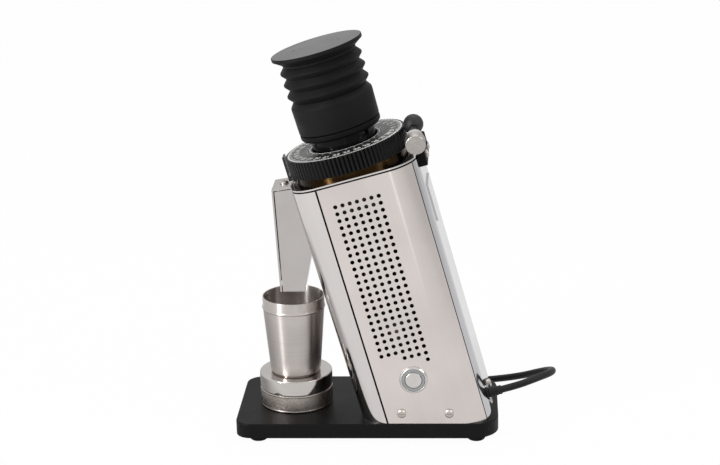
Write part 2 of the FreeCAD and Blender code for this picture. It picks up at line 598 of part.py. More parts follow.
node(turned("dial_face", [("dial_inner + pin_fit", "0"), ("dial_outer - pin_fit", "0"),
                          ("dial_outer - pin_fit", "dial_thick"), ("dial_inner + pin_fit", "dial_thick")],
            place(LEANING, (0, 0, "-dial_thick"))))
index_front = "-(ring_radius + index_gap + index_thick)"
index_upright = block("index_upright", (index_front, "-index_half", "-top_plate_level"),
                      (index_front + " + index_thick", "index_half", "index_over"), LEANING)
index_base = block("index_base", (index_front, "-index_half", "-top_plate_level"),
                   ("-collar_radius - turn_gap", "index_half", "-top_plate_level + index_thick"), LEANING)
node(fused("index_plate", index_upright, index_base))

# Hopper neck, its seat, and the bellows with boot and lid
neck_inner = "neck_radius - neck_wall"
node(turned("hopper_neck", [(neck_inner, "0"), ("neck_flange", "0"), ("neck_flange", "neck_flange_thick"),
                            ("neck_radius", "neck_flange_thick"), ("neck_radius", "neck_top + carrier_top"),
                            (neck_inner, "neck_top + carrier_top")], place(LEANING, (0, 0, "-carrier_top"))))
node(turned("hopper_seat", [("neck_radius + pin_fit", "0"), ("seat_radius - seat_edge", "0"),
                            ("seat_radius", "seat_edge"), ("seat_radius", "seat_top - seat_bottom"),
                            ("neck_radius + pin_fit", "seat_top - seat_bottom")],
            place(LEANING, (0, 0, "seat_bottom"))))
boot_low = "seat_top + seat_gap"
boot_inner = "neck_radius + boot_fit"
boot_high = "boot_top - (%s)" % boot_low
node(turned("bellows_boot", [(boot_inner, "0"), ("boot_radius", "0"),
                             ("boot_radius", "boot_shoulder - (%s)" % boot_low),
                             ("bellows_valley", boot_high), ("bellows_valley - bellows_wall", boot_high),
                             ("bellows_valley - bellows_wall", "boot_shoulder - (%s)" % boot_low),
                             (boot_inner, "boot_shoulder - (%s)" % boot_low)],
            place(LEANING, (0, 0, boot_low))))
folds = int(size("bellows_folds"))
bellows_long = "bellows_folds*bellows_pitch"
outside = [("bellows_valley", "0")]
for fold in range(folds):
    outside.append(("bellows_crest", "bellows_pitch*%.1f" % (fold + 0.5)))
    outside.append(("bellows_valley", "bellows_pitch*%d" % (fold + 1)))
inside = [("%s - bellows_wall" % radius, height) for radius, height in reversed(outside)]
node(turned("bellows", outside + inside, place(LEANING, (0, 0, "boot_top"))))
lid_low = "boot_top + " + bellows_long
node(turned("bellows_lid", [("0", "0"), ("lid_neck", "0"), ("lid_neck", "lid_neck_high"),
                            ("lid_radius - lid_edge", "lid_neck_high"),
                            ("lid_radius", "lid_neck_high + lid_edge"),
                            ("lid_radius", "lid_neck_high + lid_thick - lid_edge/2"),
                            ("lid_radius - lid_edge/2", "lid_neck_high + lid_thick"),
                            ("0", "lid_neck_high + lid_thick")], place(LEANING, (0, 0, lid_low))))

# Chute: bent wrap over a channel, against the front cover
front_face = LEANING.multVec(V(-size("body_front"), 0, size("chute_top_w")))
leave = LEANING.multVec(V(-size("body_front"), 0, size("chute_leave_w")))
chute_outline = [V(size("chute_front_x"), 0, size("chute_front_top_z")), front_face, leave,
                 V(size("chute_heel_x"), 0, size("chute_foot_z")),
                 V(size("chute_foot_x"), 0, size("chute_foot_z"))]


def inset_outline(gaps):
    """The chute's outline with each side moved in by its own gap, side i between corners i and i+1."""
    count = len(chute_outline)
    moved = []
    for i in range(count):
        start = chute_outline[i]
        end = chute_outline[(i + 1) % count]
        along = (end - start).normalize()
        inward = V(along.z, 0, -along.x)
        moved.append((start + inward * gaps[i], along))
    corners = []
    for i in range(count):
        point, along = moved[i - 1]
        other, across = moved[i]
        turn = along.x * across.z - along.z * across.x
        step = ((other.x - point.x) * across.z - (other.z - point.z) * across.x) / turn
        corners.append((point.x + along.x * step, point.z + along.z * step))
    return corners


chute_wall = size("chute_wall")
through = -5 * chute_wall
wrap_hollow = inset_outline((chute_wall, through, through, through, chute_wall))
side_gap = chute_wall + size("chute_seam")
channel_outline = inset_outline((side_gap, size("chute_seam"), 0.0, 0.0, side_gap))
channel_hollow = inset_outline((through, through, chute_wall, through, through))
chute_top_mid = (chute_outline[0] + chute_outline[1]) * 0.5
top_along = (chute_outline[1] - chute_outline[0]).normalize()
chute_tilt = Rotation(V(0, 1, 0), -math.degrees(math.atan2(top_along.z, top_along.x)))
chute_hole = rod("chute_hole", "screw_radius + fit", "8*chute_wall",
                 Placement(chute_top_mid, chute_tilt).multiply(place(UPRIGHT, (0, 0, "-4*chute_wall"))))
node(cut("chute_wrap", prism("wrap_blank", [(corner.x, corner.z) for corner in chute_outline],
                             "2*chute_half"),
         prism("wrap_hollow", wrap_hollow, "4*chute_half"), chute_hole))
channel_wide = "2*(chute_half - chute_inset)"
node(cut("chute_channel", prism("channel_blank", channel_outline, channel_wide),
         prism("channel_hollow", channel_hollow, channel_wide + " - 2*chute_wall")))
pan_screws.append(screw("chute_screw", Placement(chute_top_mid, chute_tilt), "screw_radius", "screw_grip",
                        "screw_head", "screw_head_high"))
node(grouped("pan_screws", *pan_screws))

# Lock lever: bracket on the rear cover, pin in its boss, round cam off the pin's centre, and a tapered handle
pin_u = "ball_u + cam_u"
pin_v = "ball_v + cam_v"
lock_sheet = block("lock_sheet", ("body_rear", "-lock_half", "lock_low_w"),
                   ("body_rear + lock_thick", "lock_half", "lock_high_w"), LEANING)
lock_stalk = block("lock_stalk", ("body_rear", pin_v + " - boss_radius", "lock_high_w"),
                   ("body_rear + lock_thick", pin_v + " + boss_radius", "boss_high_w"), LEANING)
lock_boss = rod("lock_boss", "boss_radius", "boss_high_w - boss_low_w",
                place(LEANING, (pin_u, pin_v, "boss_low_w")))
lock_drills = [rod("pin_hole", "pin_radius + pin_fit", "boss_high_w - boss_low_w + 2*fit",
                   place(LEANING, (pin_u, pin_v, "boss_low_w - fit")))]
lock_screws = []
for number, side in enumerate((-1, 1)):
    spot = ("body_rear + lock_thick", "%d*lock_screw_half" % side, "(lock_low_w + lock_high_w)/2")
    lock_screws.append(screw("lock_screw_%d" % number, place(LEANING, spot, ALONG_U), "screw_radius",
                             "lock_thick - fit", "screw_head", "screw_head_high"))
    lock_drills.append(rod("lock_hole_%d" % number, "screw_radius + fit", "4*lock_thick",
                           place(LEANING, ("body_rear - lock_thick", spot[1], spot[2]), ALONG_U)))
node(cut("lock_bracket", fused("lock_blank", lock_sheet, lock_stalk, lock_boss),
         grouped("lock_drill_group", *lock_drills)))
node(grouped("lock_screws", *lock_screws))
node(rod("lever_pin", "pin_radius", "ball_w + pin_over - boss_low_w",
         place(LEANING, (pin_u, pin_v, "boss_low_w"))))
ball_place = place(LEANING, ("ball_u", "ball_v", "ball_w"))
handle_line = V(size("handle_u") - size("ball_u"), size("handle_v") - size("ball_v"),
                size("handle_w") - size("ball_w"))
handle_place = ball_place.multiply(Placement(V(), Rotation(V(0, 0, 1), handle_line)))
handle_long = handle_line.Length
node(turned("lock_lever", [("0", "handle_root"), ("handle_spigot", "handle_root"),
                           ("handle_spigot", "handle_out"), ("handle_neck", "handle_out"),
                           ("handle_radius", "%f - handle_end" % handle_long),
                           ("handle_radius", "%f - hub_edge" % handle_long),
                           ("handle_radius - hub_edge", handle_long), ("0", handle_long)], handle_place))
ball = doc.addObject("Part::Sphere", "ball_round")
bind(ball, "Radius", "ball_radius")
ball.Placement = ball_place
ball_pin_bore = rod("ball_pin_bore", "pin_radius + pin_fit", "ball_radius + pin_over + fit",
                    place(LEANING, (pin_u, pin_v, "ball_w - ball_radius")))
ball_handle_bore = rod("ball_handle_bore", "handle_spigot + pin_fit", "ball_radius",
                       handle_place.multiply(place(UPRIGHT, (0, 0, "ball_bore"))))
node(cut("lever_ball", ball, ball_pin_bore, ball_handle_bore))

# Push button in the near panel, its axis towards the viewer
button_place = place(UPRIGHT, ("button_x", "-body_half", "button_z"), TOWARDS_VIEWER)
node(turned("button_bezel", [("button_bore", "-barrel_long"), ("barrel_radius", "-barrel_long"),
                             ("barrel_radius", "0"), ("bezel_radius", "0"),
                             ("bezel_radius - bezel_edge", "bezel_high"),
                             ("light_radius + fit", "bezel_high"),
                             ("light_radius + fit", "bezel_high - light_thick - fit"),
                             ("button_bore", "bezel_high - light_thick - fit")], button_place))
node(turned("button_light", [("button_bore", "bezel_high - light_thick - fit"),
                             ("light_radius", "bezel_high - light_thick - fit"),
                             ("light_radius", "bezel_high - fit"), ("button_bore", "bezel_high - fit")],
            button_place))
node(turned("button_cap", [("0", "bezel_high - cap_long"), ("cap_radius", "bezel_high - cap_long"),
                           ("cap_radius", "bezel_high - cap_edge"), ("cap_radius - cap_edge", "bezel_high"),
                           ("0", "bezel_high")],
            button_place))
node(turned("button_nut", [("barrel_radius + fit", "-wall - nut_thick"), ("nut_radius", "-wall - nut_thick"),
                           ("nut_radius", "-wall"), ("barrel_radius + fit", "-wall")], button_place))
node(turned("switch_body", [("0", "-barrel_long - switch_long"),
                            ("barrel_radius", "-barrel_long - switch_long"),
                            ("barrel_radius", "-barrel_long"), ("0", "-barrel_long")], button_place))

# Platform: fixed post, knurled ring that turns, polished top that rises, and the cup on it
post_place = place(UPRIGHT, ("cup_x", 0, base_top))
node(turned("platform_post", [("stem_radius + turn_gap", "0"), ("post_radius", "0"),
                              ("post_radius", "post_high"), ("stem_radius + turn_gap", "post_high")],
            post_place))
ring_high = "platform_split - (%s)" % base_top
node(turned("platform_ring", [("post_radius + turn_gap", "turn_gap"), ("platform_radius", "turn_gap"),
                              ("platform_radius", ring_high), ("post_radius + turn_gap", ring_high)],
                              post_place))
top_low = ring_high + " + turn_gap"
top_high = "platform_level - (%s)" % base_top
node(turned("platform_top", [("0", "stem_gap"), ("stem_radius", "stem_gap"), ("stem_radius", top_low),
                             ("platform_radius", top_low),
                             ("platform_radius", top_high + " - platform_edge"),
                             ("platform_radius - platform_edge", top_high), ("0", top_high)], post_place))
node(turned("dosing_cup", [("0", "0"), ("cup_foot - cup_heel", "0"), ("cup_foot", "cup_heel"),
                           ("cup_shoulder", "cup_step_high - cup_bead"), ("cup_step", "cup_step_high"),
                           ("cup_rim", "cup_step_high + cup_bead"), ("cup_rim", "cup_high"),
                           ("cup_rim - cup_wall", "cup_high"),
                           ("cup_rim - cup_wall", "cup_step_high - cup_bead"),
                           ("cup_foot - cup_wall", "cup_floor + cup_heel"),
                           ("cup_foot - cup_wall - cup_heel", "cup_floor"), ("0", "cup_floor")],
            place(UPRIGHT, ("cup_x", 0, "platform_level"))))

# Strain relief, square to the rear cover
gland_place = place(LEANING, ("body_rear", "gland_v", gland_w), ALONG_U)
node(turned("cord_gland", [("0", "-4*wall"), ("gland_root", "-4*wall"), ("gland_root", "0"),
                           ("gland_flange", "0"), ("gland_flange", "gland_flange_thick"),
                           ("gland_root", "gland_flange_thick"), ("gland_tip", "gland_long"),
                           ("0", "gland_long")], gland_place))


# Mains lead: a free stretch, a tied coil behind the body and its plug
def arc_through(start, tangent, end):
    """The arc that leaves start along tangent and ends at end."""
    chord = end - start
    half = chord * 0.5
    angle = tangent.getAngle(chord)
    if angle < 1e-6:
        return Part.LineSegment(start, end).toShape()
    side = tangent - chord * (tangent.dot(chord) / chord.dot(chord))
    rise = half.Length * math.tan(angle / 2)
    return Part.Arc(start, start + half + side.normalize() * rise, end).toShape()


def biarc(start, leaving, end, arriving):
    """Two tangent arcs from start to end with the given directions at both."""
    across = end - start
    both = leaving + arriving
    spread = 2 * (1 - leaving.dot(arriving))
    if spread < 1e-9:
        reach = across.dot(across) / (2 * across.dot(both))
    else:
        lead = across.dot(both)
        reach = (math.sqrt(lead * lead + spread * across.dot(across)) - lead) / spread
    join = (start + end + (leaving - arriving) * reach) * 0.5
    first = arc_through(start, leaving, join)
    second = arc_through(end, arriving * -1, join)
    return [first, second]


def tube_along(edges, radius, start, along):
    """A round tube carried along a path of tangent edges, checked against section times length."""
    path = Part.Wire(edges)
    ring = Part.Wire(Part.makeCircle(radius, start, along))
    solid = path.makePipeShell([ring], True, False)
    expected = math.pi * radius * radius * path.Length
    print("tube: length %.1f mm, volume off by %.3f %%" % (path.Length, 100 * (solid.Volume / expected - 1)))
    return solid, path


def rounded_route(points):
    """Straight runs joined by tangent arcs as large as the runs allow."""
    edges = []
    here = points[0]
    for i in range(1, len(points) - 1):
        before = (points[i] - points[i - 1]).normalize()
        after = (points[i + 1] - points[i]).normalize()
        turn = before.getAngle(after)
        shorter = min((points[i] - points[i - 1]).Length, (points[i + 1] - points[i]).Length)
        setback = 0.45 * shorter
        start = points[i] - before * setback
        end = points[i] + after * setback
        bend = setback / math.tan(turn / 2)
        print("cord point %d: turn %.1f deg, radius %.1f mm" % (i, math.degrees(turn), bend))
        edges.append(Part.LineSegment(here, start).toShape())
        edges.append(arc_through(start, before, end))
        here = end
    edges.append(Part.LineSegment(here, points[-1]).toShape())
    return edges


cord_radius = size("cord_radius")
rest_z = cord_radius + size("coil_lift")
coil_centre = V(size("coil_x"), size("coil_y"), 0)
start_angle = -math.pi / 2
turns = size("coil_turns")
climb = 0.5


def coil_point(turn_count):
    """A point of the coil after so many turns: spiral in, climb a layer at the middle, spiral out."""
    angle = start_angle - 2 * math.pi * turn_count
    inward = min(turn_count, turns + climb / 2)
    outward = max(turn_count - turns - climb / 2, 0.0)
    radius = size("coil_outer") - size("coil_pitch") * (inward - outward)
    rise = min(max((turn_count - turns) / climb, 0.0), 1.0)
    height = rest_z + size("coil_pitch") * rise * rise * (3 - 2 * rise)
    return coil_centre + V(radius * math.cos(angle), radius * math.sin(angle), height)


def coil_direction(turn_count):
    """The coil's direction there, from two close points."""
    step = 1e-4
    low = max(turn_count - step, 0.0)
    high = min(turn_count + step, 2 * turns + climb)
    return (coil_point(high) - coil_point(low)).normalize()


coil_total = 2 * turns + climb
quarters = int(round(coil_total * 4))
coil_edges = []
for quarter in range(quarters):
    begin, finish = quarter * coil_total / quarters, (quarter + 1) * coil_total / quarters
    coil_edges += biarc(coil_point(begin), coil_direction(begin), coil_point(finish), coil_direction(finish))
straight = 2 * cord_radius
coil_start = coil_point(0.0)
coil_lead = coil_start - coil_direction(0.0) * straight
coil_end = coil_point(coil_total)
coil_out = coil_end + coil_direction(coil_total) * straight
coil_edges.insert(0, Part.LineSegment(coil_lead, coil_start).toShape())
coil_edges.append(Part.LineSegment(coil_end, coil_out).toShape())
coil_solid, coil_path = tube_along(coil_edges, cord_radius, coil_lead, coil_direction(0.0))
samples = coil_path.discretize(Distance=3.0)
skip = int(math.pi * cord_radius * 4 / 3.0)
pairs = [(i, j) for i in range(len(samples)) for j in range(i + skip, len(samples))]
least = min((samples[i] - samples[j]).Length for i, j in pairs)
print("coil: least gap to itself %.2f mm" % (least - 2 * cord_radius))
node(made("cord_coil", coil_solid))

gland_tip = gland_place.multVec(V(0, 0, size("gland_long")))
gland_exit = gland_place.multVec(V(0, 0, size("gland_long") + size("cord_first")))
coil_approach = coil_lead - coil_direction(0.0) * size("cord_last")
cord_points = [gland_tip, gland_exit, V(153.0, -20.0, 48.6), V(166.3, -4.2, 47.2), V(169.8, 16.5, 42.0),
               V(161.3, 41.0, 31.0), V(138.0, 65.0, 15.0), coil_approach, coil_lead]
cord_edges = rounded_route(cord_points)
cord_solid, cord_path = tube_along(cord_edges, cord_radius, gland_tip,
                                   (cord_points[1] - gland_tip).normalize())
node(made("cord", cord_solid))
print("lead: %.0f mm in all" % (cord_path.Length + coil_path.Length))

# Tie round the strands on the coil's far side
tie_gap = size("tie_gap")
strand_low = coil_lead.z - cord_radius - tie_gap
strand_high = coil_lead.z + size("coil_pitch") + cord_radius + tie_gap
strand_inner = size("coil_outer") - size("coil_pitch") * (turns + climb / 2) - cord_radius - tie_gap
strand_outer = size("coil_outer") + cord_radius + tie_gap
tie_thick = size("tie_thick")
tie_side = V(coil_centre.x, coil_centre.y, 0)
tie_hollow = block("tie_hollow", (strand_inner, "-tie_wide", strand_low),
                   (strand_outer, "tie_wide", strand_high))
tie_hollow.Placement = Placement(tie_side, Rotation(V(0, 0, 1), 90)).multiply(tie_hollow.Placement)
tie_blank = block("tie_blank", (strand_inner - tie_thick, "-tie_wide/2", strand_low - tie_thick),
                  (strand_outer + tie_thick, "tie_wide/2", strand_high + tie_thick))
tie_blank.Placement = Placement(tie_side, Rotation(V(0, 0, 1), 90)).multiply(tie_blank.Placement)
node(cut("cord_tie", tie_blank, tie_hollow))

# Plug at the coil's end
plug_along = coil_direction(coil_total)
plug_place = Placement(coil_out, Rotation(V(0, 0, 1), plug_along))
plug_body = turned("plug_round", [("0", "0"), ("cord_radius + plug_swell/4", "0"),
                                  ("cord_radius + plug_swell", "plug_neck_long"),
                                  ("plug_body_radius", "plug_neck_long + plug_shoulder"),
                                  ("plug_body_radius", "plug_neck_long + plug_body_long"),
                                  ("0", "plug_neck_long + plug_body_long")], plug_place)
pins = []
for number, side in enumerate((-1, 1)):
    pins.append(rod("plug_pin_%d" % number, "plug_pin_radius", "plug_pin_long + plug_shoulder",
                    plug_place.multiply(place(UPRIGHT,
                                              (0, "%d*plug_pin_half" % side,
                                               "plug_neck_long + plug_body_long - plug_shoulder")))))
node(fused("plug", plug_body, *pins))

doc.recompute()
for item in doc.Objects:
    if {"Invalid", "Error"} & set(item.State):
        raise RuntimeError("%s failed: %s" % (item.Name, item.State))
for piece in NODES:
    if piece.Shape.isNull() or not piece.Shape.isValid():
        raise RuntimeError("%s has no valid shape" % piece.Label)
os.makedirs("parts", exist_ok=True)
for piece in NODES:
    piece.Shape.exportStep("parts/%s.step" % piece.Label)
print("%d nodes written" % len(NODES))
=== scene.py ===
"""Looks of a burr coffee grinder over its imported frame.

Lengths in the classes are millimetres, in the frame of the part: +Z up, origin on the floor under the base
plate. Meshes are put into Blender in metres.
"""
import logging
import math
from dataclasses import dataclass, replace
from enum import Enum
from typing import Any, Sequence

import bpy
import numpy as np
from mathutils import Matrix


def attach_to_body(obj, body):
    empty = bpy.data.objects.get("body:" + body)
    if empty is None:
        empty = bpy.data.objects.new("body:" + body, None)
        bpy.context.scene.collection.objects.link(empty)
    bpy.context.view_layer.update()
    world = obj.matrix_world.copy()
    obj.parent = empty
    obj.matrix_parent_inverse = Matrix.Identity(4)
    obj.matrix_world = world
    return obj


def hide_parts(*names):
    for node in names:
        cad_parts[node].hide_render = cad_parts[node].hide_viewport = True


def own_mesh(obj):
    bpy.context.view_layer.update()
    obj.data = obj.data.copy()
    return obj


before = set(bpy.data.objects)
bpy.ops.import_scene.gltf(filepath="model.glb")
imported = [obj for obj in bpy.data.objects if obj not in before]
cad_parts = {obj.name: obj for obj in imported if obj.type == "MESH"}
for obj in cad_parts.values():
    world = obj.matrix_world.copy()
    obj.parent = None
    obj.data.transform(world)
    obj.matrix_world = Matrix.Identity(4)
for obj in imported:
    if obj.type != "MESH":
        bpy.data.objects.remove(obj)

LOG = logging.getLogger("grinder")
MM = 0.001
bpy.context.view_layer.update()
SHARP_DEGREES = 40.0
STEEP = 0.9
EASED_SHARE = 0.45
GRAIN_TURN = 0.25
Colour = tuple[int, int, int]
Point = tuple[float, float, float]
Corners = Sequence[Sequence[float]]
Socket = bpy.types.NodeSocket
ORIGIN = (0.0, 0.0, 0.0)
UP = (0.0, 0.0, 1.0)


# Frames and surfaces
def unit(vector: Sequence[float]) -> np.ndarray:
    """A vector brought to length one."""
    return np.asarray(vector, dtype=float) / np.linalg.norm(vector)


def around(count: int) -> np.ndarray:
    """Even angles once round, in radians."""
    return 2 * np.pi * np.arange(count) / count


def polar(radius: np.ndarray, angle: np.ndarray, height: np.ndarray) -> np.ndarray:
    """Points (r cos a, r sin a, h) of radii, angles and heights."""
    across = radius * np.cos(angle)
    return np.stack((across, radius * np.sin(angle), np.broadcast_to(height, across.shape)), axis=-1)


@dataclass(frozen=True)
class Axes:
    """A right-handed frame in the part: an origin in millimetres and three unit axes as rows."""

    origin: Point
    axes: tuple[Point, Point, Point] = ((1.0, 0.0, 0.0), (0.0, 1.0, 0.0), UP)

    @classmethod
    def along(cls, origin: Sequence[float], direction: Sequence[float]) -> "Axes":
        """A frame at a point whose third axis follows a direction.

        Args:
            origin: The point, in millimetres.
            direction: Where the third axis points, of any length.

        Returns:
            The frame, its first axis as level as it can be.
        """
        third = unit(direction)
        steep = abs(third[2]) >= STEEP
        first = unit(np.cross((1.0, 0.0, 0.0) if steep else UP, third))
        return cls(tuple(origin), (tuple(first), tuple(np.cross(third, first)), tuple(third)))

    def points(self, local: Sequence[Any]) -> np.ndarray:
        """Points of this frame, in the part's frame and in millimetres."""
        return np.asarray(self.origin) + np.asarray(local, dtype=float) @ np.asarray(self.axes)


LEAN_DEGREES = 15.0
LEAN_SIN = math.sin(math.radians(LEAN_DEGREES))
LEAN_COS = math.cos(math.radians(LEAN_DEGREES))
LEANING = Axes((-16.1, 0.0, 265.8), ((LEAN_COS, 0.0, LEAN_SIN), (0.0, 1.0, 0.0), (-LEAN_SIN, 0.0, LEAN_COS)))


@dataclass
class Surface:
    """Vertices in millimetres and faces that index them."""

    vertices: np.ndarray
    faces: list[list[int]]

    @classmethod
    def grid(cls, points: np.ndarray, closed_rows: bool = True) -> "Surface":
        """A surface over a grid of points, closed round its columns.

        Neighbouring points make one quad each; closed rows also join the last to the first.

        Args:
            points: Rows by columns by three.
            closed_rows: Whether the last row joins the first.

        Returns:
            The surface, facing the cross product of the column and the row direction.
        """
        rows, columns = points.shape[:2]
        row = np.arange(rows if closed_rows else rows - 1)[:, None]
        column = np.arange(columns)[None, :]
        below = row * columns
        above = (row + 1) % rows * columns
        right = (column + 1) % columns
        quads = np.stack((below + column, below + right, above + right, above + column), axis=-1)
        return cls(points.reshape(-1, 3), quads.reshape(-1, 4).tolist())

    @classmethod
    def turned(cls, profile: np.ndarray, segments: int = 144) -> "Surface":
        """A profile carried round the third axis.

        A point (r, h) of the profile at angle a goes to (r cos a, r sin a, h). A profile that starts on the
        axis also ends there, and its poles are closed by triangles; any other is a loop.

        Args:
            profile: Points (radius, height), outer wall upwards.
            segments: How many columns go round.

        Returns:
            The closed surface.
        """
        loop = profile[0, 0] > 0.0
        ring = profile if loop else profile[1:-1]
        points = polar(ring[:, :1], around(segments), ring[:, 1:])
        wall = cls.grid(points, loop)
        if loop:
            return wall
        here = np.arange(segments)
        following = (here + 1) % segments
        bottom = np.full(segments, len(ring) * segments)
        last = (len(ring) - 1) * segments
        floor = np.stack((bottom, following, here), axis=-1)
        roof = np.stack((bottom + 1, last + here, last + following), axis=-1)
        poles = ((0.0, 0.0, profile[0, 1]), (0.0, 0.0, profile[-1, 1]))
        return cls(np.vstack((wall.vertices, poles)), wall.faces + floor.tolist() + roof.tolist())

    @classmethod
    def lathed(cls, corners: Corners, easing: float, steps: int = 6, segments: int = 144) -> "Surface":
        """A turned piece from the corners (radius, height) of its half section, every corner eased."""
        return cls.turned(eased(corners, easing, steps, corners[0][0] > 0.0), segments)

    def placed(self, axes: Axes) -> "Surface":
        """The same surface, moved from a frame's own coordinates into the part's."""
        return Surface(axes.points(self.vertices), self.faces)

    @staticmethod
    def joined(surfaces: Sequence["Surface"]) -> "Surface":
        """Several surfaces as one, each keeping its own faces.

        Args:
            surfaces: The surfaces, in one frame.

        Returns:
            One surface with their vertices one after another.
        """
        starts = np.cumsum([0] + [len(surface.vertices) for surface in surfaces[:-1]])
        faces = [[int(start) + corner for corner in face]
                 for start, surface in zip(starts, surfaces) for face in surface.faces]
        return Surface(np.vstack([surface.vertices for surface in surfaces]), faces)


def eased(corners: Corners, radius: float, steps: int = 6, closed: bool = True) -> np.ndarray:
    """A polyline with every corner eased.

    A corner P with unit vectors a and b towards its neighbours becomes P + d((1 - t)^2 a + t^2 b) for t from
    0 to 1, where d is the radius, held to a set share of the shorter side.

    Args:
        corners: The corners, each of two coordinates.
        radius: How far from the corner the easing starts.
        steps: Points for each corner.
        closed: Whether the line is a loop; an open line keeps its two ends.

    Returns:
        The points of the eased line.
    """
    line = np.asarray(corners, dtype=float)
    before = np.roll(line, 1, axis=0) - line
    after = np.roll(line, -1, axis=0) - line
    before_long = np.linalg.norm(before, axis=1, keepdims=True)
    after_long = np.linalg.norm(after, axis=1, keepdims=True)
    setback = np.minimum(radius, EASED_SHARE * np.minimum(before_long, after_long))[:, None, :]
    t = np.linspace(0.0, 1.0, steps)[None, :, None]
    bend = (1 - t) ** 2 * (before / before_long)[:, None, :] + t ** 2 * (after / after_long)[:, None, :]
    curve = line[:, None, :] + setback * bend
    if closed:
        return curve.reshape(-1, 2)
    return np.vstack((line[:1], curve[1:-1].reshape(-1, 2), line[-1:]))


# Finishes
def linear(colour: Colour) -> tuple[float, float, float, float]:
    """A colour written as it looks on screen, 0 to 255, as the linear values that a shader takes."""
    part = np.asarray(colour) / 255.0
    value = np.where(part <= 0.04045, part / 12.92, ((part + 0.055) / 1.055) ** 2.4)
    return (float(value[0]), float(value[1]), float(value[2]), 1.0)


class Nodes:
    """A node tree with short calls to add nodes and feed their inputs."""

    def __init__(self, tree: bpy.types.NodeTree) -> None:
        """Takes the tree to work in."""
        self.tree = tree

    def feed(self, node: bpy.types.Node, inputs: dict[Any, Any]) -> None:
        """Feeds inputs of a node.

        Args:
            node: The node.
            inputs: For each input's name or number, the output to link to it or the value to set it to.
        """
        for place, value in inputs.items():
            if isinstance(value, Socket):
                self.tree.links.new(value, node.inputs[place])
            else:
                node.inputs[place].default_value = value

    def add(self, kind: str, inputs: dict[Any, Any], **settings: Any) -> bpy.types.Node:
        """A new node with its properties set and its inputs fed.

        Args:
            kind: The node's type without its prefix.
            inputs: What goes into it, as in feed.
            settings: Properties of the node by name.

        Returns:
            The node.
        """
        node = self.tree.nodes.new("ShaderNode" + kind)
        for name, setting in settings.items():
            setattr(node, name, setting)
        self.feed(node, inputs)
        return node

    def read(self, kind: str, output: str) -> Socket:
        """An output of a new node that needs no input."""
        return self.add(kind, {}).outputs[output]

    def math(self, operation: str, first: Any, second: Any) -> Socket:
        """Two numbers put together by an operation."""
        return self.add("Math", {0: first, 1: second}, operation=operation).outputs[0]

    def vector(self, operation: str, first: Any, second: Any) -> Socket:
        """Two vectors put together by an operation, part by part."""
        return self.add("VectorMath", {0: first, 1: second}, operation=operation).outputs[0]

    def length(self, vector: Socket) -> Socket:
        """The length of a vector."""
        return self.add("VectorMath", {0: vector}, operation="LENGTH").outputs["Value"]

    def mixed(self, share: Socket, first: Any, second: Any, blend: str = "MIX") -> Socket:
        """Two colours mixed by a share of the second."""
        mix = self.add("Mix", {0: share, 6: first, 7: second}, data_type="RGBA", blend_type=blend)
        return mix.outputs[2]

    def ranged(self, value: Socket, low: float, high: float, first: float, last: float) -> Socket:
        """A value carried from the range low to high to the range first to last, held at both ends."""
        ends = {"From Min": low, "From Max": high, "To Min": first, "To Max": last}
        return self.add("MapRange", {"Value": value, **ends}).outputs["Result"]


class Pattern(Enum):
    """The fine pattern in a surface."""

    SPECKLE = "speckle"
    BRUSHED = "brushed_lines"
    TURNED = "turned_lines"


SPECKLE, BRUSHED, TURNED = Pattern


class EffectGroups:
    """Shader node groups that several finishes share, each built once."""

    marks_name = "handling_marks"
    marks_range = (0.38, 0.68)
    marks_noise = {"Detail": 5.0, "Distortion": 0.6}
    lines_range = (0.25, 0.75)
    lines_noise = {"Detail": 3.0}
    brushed_scale = (0.012, 1.0, 1.0)
    flat_scale = (1.0, 1.0, 0.0)

    def __init__(self) -> None:
        """Starts with no group built."""
        self.built: dict[str, bpy.types.NodeTree] = {}

    def group(self, name: str, output: str) -> tuple[Nodes, Any, Any]:
        """A new group with a Vector and a Scale as inputs.

        Args:
            name: The group's name.
            output: The name of its number output.

        Returns:
            Its nodes, its input node's outputs and its output node.
        """
        tree = bpy.data.node_groups.new(name, "ShaderNodeTree")
        for label, side, kind in (("Vector", "INPUT", "Vector"), ("Scale", "INPUT", "Float"),
                                  (output, "OUTPUT", "Float")):
            tree.interface.new_socket(label, in_out=side, socket_type="NodeSocket" + kind)
        self.built[name] = tree
        return Nodes(tree), tree.nodes.new("NodeGroupInput").outputs, tree.nodes.new("NodeGroupOutput")

    def handling_marks(self) -> bpy.types.NodeTree:
        """Soft patches, as hands and cloths leave them: wide noise sharpened into a mask.

        Returns:
            The group, with a Mask from 0 to 1.
        """
        if self.marks_name not in self.built:
            nodes, entry, leave = self.group(self.marks_name, "Mask")
            noise = nodes.add("TexNoise", {"Vector": entry["Vector"], "Scale": entry["Scale"],
                                           **self.marks_noise})
            nodes.feed(leave, {"Mask": nodes.ranged(noise.outputs["Fac"], *self.marks_range, 0.0, 1.0)})
        return self.built[self.marks_name]

    def pattern(self, kind: Pattern) -> bpy.types.NodeTree:
        """The group of a fine pattern.

        Speckle is fine noise; brushed lines are noise drawn out along the first axis; turned lines are noise
        over the distance from the third axis.

        Args:
            kind: Which pattern.

        Returns:
            The group, with a Height from 0 to 1.
        """
        if kind.value in self.built:
            return self.built[kind.value]
        nodes, entry, leave = self.group(kind.value, "Height")
        vector = entry["Vector"]
        if kind is BRUSHED:
            vector = nodes.vector("MULTIPLY", vector, self.brushed_scale)
        if kind is TURNED:
            reach = nodes.length(nodes.vector("MULTIPLY", vector, self.flat_scale))
            height = nodes.add("SeparateXYZ", {0: vector}).outputs["Z"]
            vector = nodes.add("CombineXYZ", {"X": reach, "Z": height}).outputs["Vector"]
        noise = nodes.add("TexNoise", {"Vector": vector, "Scale": entry["Scale"], **self.lines_noise})
        nodes.feed(leave, {"Height": nodes.ranged(noise.outputs["Fac"], *self.lines_range, 0.0, 1.0)})
        return self.built[kind.value]


